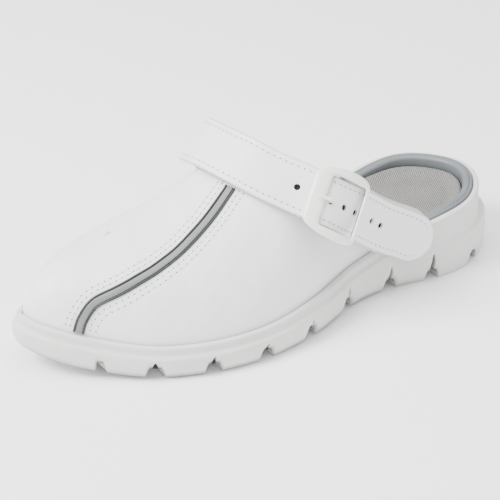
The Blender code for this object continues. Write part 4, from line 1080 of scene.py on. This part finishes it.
def buckleMesh():
    # ring between a rounded outer and inner outline; its section is a soft half oval on a flat base
    long, thick = buckleLook["length"], buckleLook["thickness"]
    backBar, frontBar = buckleLook["backBar"], buckleLook["frontBar"]
    window = strapLook["width"] / 2 + clog["clearance"]
    innerP, innerQ = squarish(200, 16)
    innerP, innerQ = innerP * (long - backBar - frontBar) / 2 + (backBar - frontBar) / 2, innerQ * window
    outerP, outerQ = squarish(200, 9)
    outerQ = outerQ * (
        window + buckleLook["arm"] + buckleLook["flare"] * outerP + buckleLook["bulge"] * (1 - outerP**2)
    )
    outerP = outerP * long / 2
    loops = []
    for a in np.linspace(0, math.pi, 19):
        blend = (1 - math.copysign(abs(math.cos(a)) ** 0.62, math.cos(a))) / 2
        lift = 0.28 + 0.72 * math.sin(a) ** 0.62
        p, q = outerP + (innerP - outerP) * blend, outerQ + (innerQ - outerQ) * blend
        loops.append(axes.place(p, q, frameLift(p) + lift * thick))
    for blend in (0.96, 0.5, 0.04):
        p, q = outerP + (innerP - outerP) * blend, outerQ + (innerQ - outerQ) * blend
        loops.append(axes.place(p, q, frameLift(p)))
    points = np.stack(loops, axis=1)
    # painted shade on the lowest loops of the frame's inner wall
    slitShade = np.zeros(points.shape[:2])
    slitShade[:, 18:20] = 1
    quads = gridQuads(points.shape[0], points.shape[1], wrapU=True, wrapV=True)
    ring = meshFrom("buckle", shown(points.reshape(-1, 3)), quads, {"slitShade": slitShade})
    legMiddle = window + 2 * clog["clearance"] + buckleLook["arm"] / 2
    bm = bmesh.new()
    bm.from_mesh(ring)
    bar = pinMesh(shown(axes.place(0, 0, -barDepth)), axes.across, buckleLook["bar"] / 2, 2 * legMiddle, 32)
    bm.from_mesh(bar)
    top, bottom = buckleLook["seat"] + buckleLook["thickness"] / 2, -barDepth - buckleLook["bar"] / 2
    turnTo = Matrix([axes.along, axes.across, axes.out]).transposed().to_4x4()
    for side in (-1, 1):
        middle = Vector(shown(axes.place(0, side * legMiddle, (top + bottom) / 2)))
        size = Matrix.Diagonal((buckleLook["bar"] * 1.5, buckleLook["arm"], top - bottom, 1))
        bmesh.ops.create_cube(bm, size=1, matrix=Matrix.Translation(middle) @ turnTo @ size)
    bm.to_mesh(ring)
    bm.free()
    ring.set_sharp_from_angle(angle=math.radians(50))
    return ring


buckle = place("buckle_frame", buckleMesh(), ivoryPlastic)
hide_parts("buckle")


def tubeAlong(points, radius, sideways, steps=20, tipShare=0.75):
    # round tube through the points with a tapered, rounded tip at the end
    fine = np.linspace(0, len(points) - 1, 160)
    path = np.column_stack([np.interp(fine, np.arange(len(points)), points[:, k]) for k in range(3)])
    for _ in range(10):
        path[1:-1] = (path[:-2] + 2 * path[1:-1] + path[2:]) / 4
    tangent = unit(np.gradient(path, axis=0))
    run = np.concatenate([[0], np.cumsum(np.linalg.norm(np.diff(path, axis=0), axis=1))])
    toEnd = run[-1] - run
    taper = tipShare + (1 - tipShare) * smoothstep(0, 8 * mm, toEnd)
    size = radius * endRound(toEnd, radius * 1.2, 2.0) * taper
    side = np.broadcast_to(sideways, tangent.shape)
    up = unit(np.cross(tangent, side))
    angle = np.arange(steps) / steps * 2 * math.pi
    ring = side[:, None] * np.cos(angle)[None, :, None] + up[:, None] * np.sin(angle)[None, :, None]
    tube = path[:, None] + ring * np.maximum(size, 1e-5)[:, None, None]
    return meshFrom("tube", shown(tube.reshape(-1, 3)), gridQuads(160, steps, wrapV=True), weld=1e-6)


def prongMesh():
    # from the eye on the middle bar, under the strap, up through its hole and flat on the wide bar
    spot = route.frame(route.hole(strapLook["prongHole"]))[0][0] - axes.origin
    holeP, holeH = float(spot @ axes.along) - clog["clearance"], float(spot @ axes.out)
    radius = buckleLook["prong"]
    under = holeH - strapLook["thickness"] - radius - 0.9 * mm
    over = buckleLook["seat"] + buckleLook["thickness"] + 0.1 * mm + radius
    wideBar = -buckleLook["length"] / 2 + buckleLook["backBar"]
    tip = wideBar - buckleLook["backBar"] * 0.6
    drop = [buckleLook["seat"] - frameLift(p) for p in (wideBar, tip)]
    eye = buckleLook["bar"] / 2 + clog["clearance"]
    sidePath = [
        (-eye - radius * 0.6, -barDepth), (-eye - radius, under), (holeP, under), (holeP, over - radius),
        (holeP - 1.2 * radius, over), (wideBar - 0.6 * mm, over - drop[0]), (tip, over - drop[1]),
    ]
    points = np.array([axes.place(p, 0, h) for p, h in sidePath])
    centre = shown(axes.place(0, 0, -barDepth))
    eyeBore = pinMesh(centre, axes.across, eye, 6 * mm)
    eyeRing = drill(pinMesh(centre, axes.across, strapLook["loop"], 2.4 * mm), [eyeBore])
    mesh = closedMesh([tubeAlong(points, radius, axes.across), eyeRing])
    mesh.set_sharp_from_angle(angle=math.radians(50))
    return mesh


prong = place("buckle_tongue", prongMesh(), ivoryPlastic)
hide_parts("buckle_prong")

for end in ("inner", "outer"):
    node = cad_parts["rivet_" + end + "_side"]
    rivet = place("rivet_" + end, node.data.copy(), ivoryPlastic)
    rivet.data.materials.clear()
    rivet.data.materials.append(ivoryPlastic)
    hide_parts("rivet_" + end + "_side")
print("buckle", flush=True)

# stitches: capsules of thread laid along lines, with a dark disc of painted shade for the needle hole at each
# end

stitchLook = dict(pitch=3.4 * mm, long=2.3 * mm, thick=0.55 * mm, pin=0.42 * mm)


def alongLine(points, normals, pitch, margin=0.0):
    run = np.concatenate([[0], np.cumsum(np.linalg.norm(np.diff(points, axis=0), axis=1))])
    count = max(1, int((run[-1] - 2 * margin) / pitch))
    at = margin + (np.arange(count) + 0.5) * (run[-1] - 2 * margin) / count
    small = 0.6 * mm

    def pick(values, where):
        return np.column_stack([np.interp(where, run, values[:, k]) for k in range(3)])

    travel = unit(pick(points, at + small) - pick(points, at - small))
    normal = unit(pick(normals, at))
    normal = unit(normal - travel * np.sum(normal * travel, axis=1, keepdims=True))
    holes = margin + np.arange(count + 1) * (run[-1] - 2 * margin) / count
    holeNormal = unit(pick(normals, holes))
    holeTravel = unit(pick(points, holes + small) - pick(points, holes - small))
    return (pick(points, at), travel, normal), (pick(points, holes), holeTravel, holeNormal)


def capsule(rings=7, sides=8):
    t = np.linspace(-1, 1, rings)
    size = np.sqrt(np.maximum(1 - np.abs(t) ** 3, 0.0))
    angle = np.arange(sides) / sides * 2 * math.pi
    lengthways = np.broadcast_to(t[:, None], (rings, sides))
    points = np.stack([lengthways, size[:, None] * np.cos(angle), size[:, None] * np.sin(angle)], axis=-1)
    return points.reshape(-1, 3), gridQuads(rings, sides, wrapV=True).reshape(-1, 4)


def copies(name, spots, shape, scale, lift):
    points, quads = shape
    centre, travel, normal = spots
    side = np.cross(normal, travel)
    local = points * np.array(scale)
    verts = (
        centre[:, None] + normal[:, None] * lift
        + travel[:, None] * local[None, :, 0, None]
        + side[:, None] * local[None, :, 1, None]
        + normal[:, None] * local[None, :, 2, None]
    )
    count = len(points)
    every = (quads[None] + np.arange(len(centre))[:, None, None] * count).reshape(-1, 4)
    mesh = meshFrom(name, shown(verts.reshape(-1, 3)), every, weld=1e-7)
    return mesh


seams = []
for distance in (2.1, 4.8):
    for sign in (-1, 1):
        u, w = stripeLine(400, 0.03)
        seams.append(onUpper(*beside(u, w, sign * (stripeLook["width"] / 2 + distance * mm)), 0))


def collarLine(drop, low, high):
    # a line a little below the collar's edge, between two shares of the run round the toe
    inside = (upperRound >= low) & (upperRound <= high) & (upperRise < 0.9999)
    u, rise = upperRound[inside], upperRise[inside]
    heights = np.linalg.norm(upperSurface(u, rise) - upperSurface(u, rise - 0.01), axis=1) / 0.01
    w = rise - drop / heights
    kernel = np.ones(9) / 9
    padded = np.concatenate([np.full(4, w[0]), w, np.full(4, w[-1])])
    return u, np.convolve(padded, kernel, "valid")


lateralEnd = float(roundOf(np.array([0.60 * clog["length"]]))[0])
outerSeat = float(roundOf(np.array([82 * mm]))[0])
innerSeat = float(roundOf(np.array([100 * mm]))[0])
collarDrop = 3.0 * mm
seams.append(onUpper(*collarLine(collarDrop, outerSeat, lateralEnd), 0))
seams.append(onUpper(*collarLine(collarDrop, 1 - lateralEnd, 1 - innerSeat), 0))

inset = 3.3 * mm
s, share = bandRows(inset, route.length - inset, strapLook["width"] / 2 - inset, True, True)
half = share * (strapLook["width"] / 2 - inset)
spot, _, edgeward, face = route.frame(s)
leftSide, rightSide = spot + edgeward * half[:, None], spot - edgeward * half[:, None]
loopLine = np.concatenate([leftSide, rightSide[::-1], leftSide[:1]])
loopFace = np.concatenate([face, face[::-1], face[:1]])
seams.append((loopLine, loopFace))
threads, holes = [], []
for line, normals in seams:
    stitch, hole = alongLine(line, normals, stitchLook["pitch"])
    threads.append(stitch)
    holes.append(hole)
threads = [np.concatenate(group) for group in zip(*threads)]
holes = [np.concatenate(group) for group in zip(*holes)]
threadSize = (stitchLook["long"] / 2, stitchLook["thick"] / 2, stitchLook["thick"] / 2)
threadMesh = copies("stitches", threads, capsule(), threadSize, -0.05 * mm)
thread = place("stitches", threadMesh, threadShade)
# flat dark discs of painted shade at the needle holes
pinSize = (stitchLook["pin"], stitchLook["pin"], 0.12 * mm)
pinHoles = copies("needle hole shade", holes, capsule(5, 10), pinSize, 0.02 * mm)
pins = place("needle_hole_shade", pinHoles, needleHoleShade)
print("stitches", len(threads[0]), flush=True)

# floor, light and camera


def lookFrom(azimuth, elevation):
    # direction from the shoe towards a lamp or the camera
    flat = math.cos(elevation)
    return Vector((math.sin(azimuth) * flat, -math.cos(azimuth) * flat, math.sin(elevation)))


def stageAndLight():
    floorMesh = bpy.data.meshes.new("floor")
    wideFloor = 6.0
    corners = [(x * wideFloor, y * wideFloor, 0) for x, y in ((-1, -1), (1, -1), (1, 1), (-1, 1))]
    floorMesh.from_pydata(corners, [], [(0, 1, 2, 3)])
    floor = bpy.data.objects.new("floor", floorMesh)
    bpy.context.scene.collection.objects.link(floor)
    floorMesh.materials.append(plainShade("pale floor", (0.97, 0.97, 0.97), 0.9))
    world = bpy.data.worlds.new("studio")
    bpy.context.scene.world = world
    world.use_nodes = True
    back = world.node_tree.nodes["Background"]
    back.inputs["Color"].default_value = (1, 1, 1, 1)
    back.inputs["Strength"].default_value = 1.25
    for name, azimuth, elevation, distance, size, power in (
        ("key", -10, 48, 1.5, 0.6, 44.0), ("top", 60, 84, 1.6, 1.2, 22.0), ("side", 115, 30, 1.7, 1.0, 4.0),
    ):
        away = lookFrom(math.radians(azimuth), math.radians(elevation))
        lamp = bpy.data.lights.new(name, "AREA")
        lamp.energy, lamp.size = power, size
        light = bpy.data.objects.new(name, lamp)
        bpy.context.scene.collection.objects.link(light)
        light.location = away * distance
        light.rotation_mode = "QUATERNION"
        light.rotation_quaternion = (-away).to_track_quat("-Z", "Y")


def photoCamera():
    # the photo's view: azimuth and elevation of the camera, its distance, and where the aim point falls
    azimuth, elevation, distance = math.radians(57), math.radians(28.5), 1.150
    aim = Vector((-sideShift, 0, 45 * mm))
    away = lookFrom(azimuth, elevation)
    data = bpy.data.cameras.new("camera")
    camera = bpy.data.objects.new("camera", data)
    bpy.context.scene.collection.objects.link(camera)
    camera.location = aim + away * distance
    camera.rotation_mode = "QUATERNION"
    camera.rotation_quaternion = (-away).to_track_quat("-Z", "Y")
    data.lens, data.sensor_width = 157.3, 36.0
    data.shift_x, data.shift_y = -14.2 / 500, -25.1 / 500
    data.clip_start, data.clip_end = 0.05, 30
    bpy.context.scene.camera = camera


stageAndLight()
photoCamera()
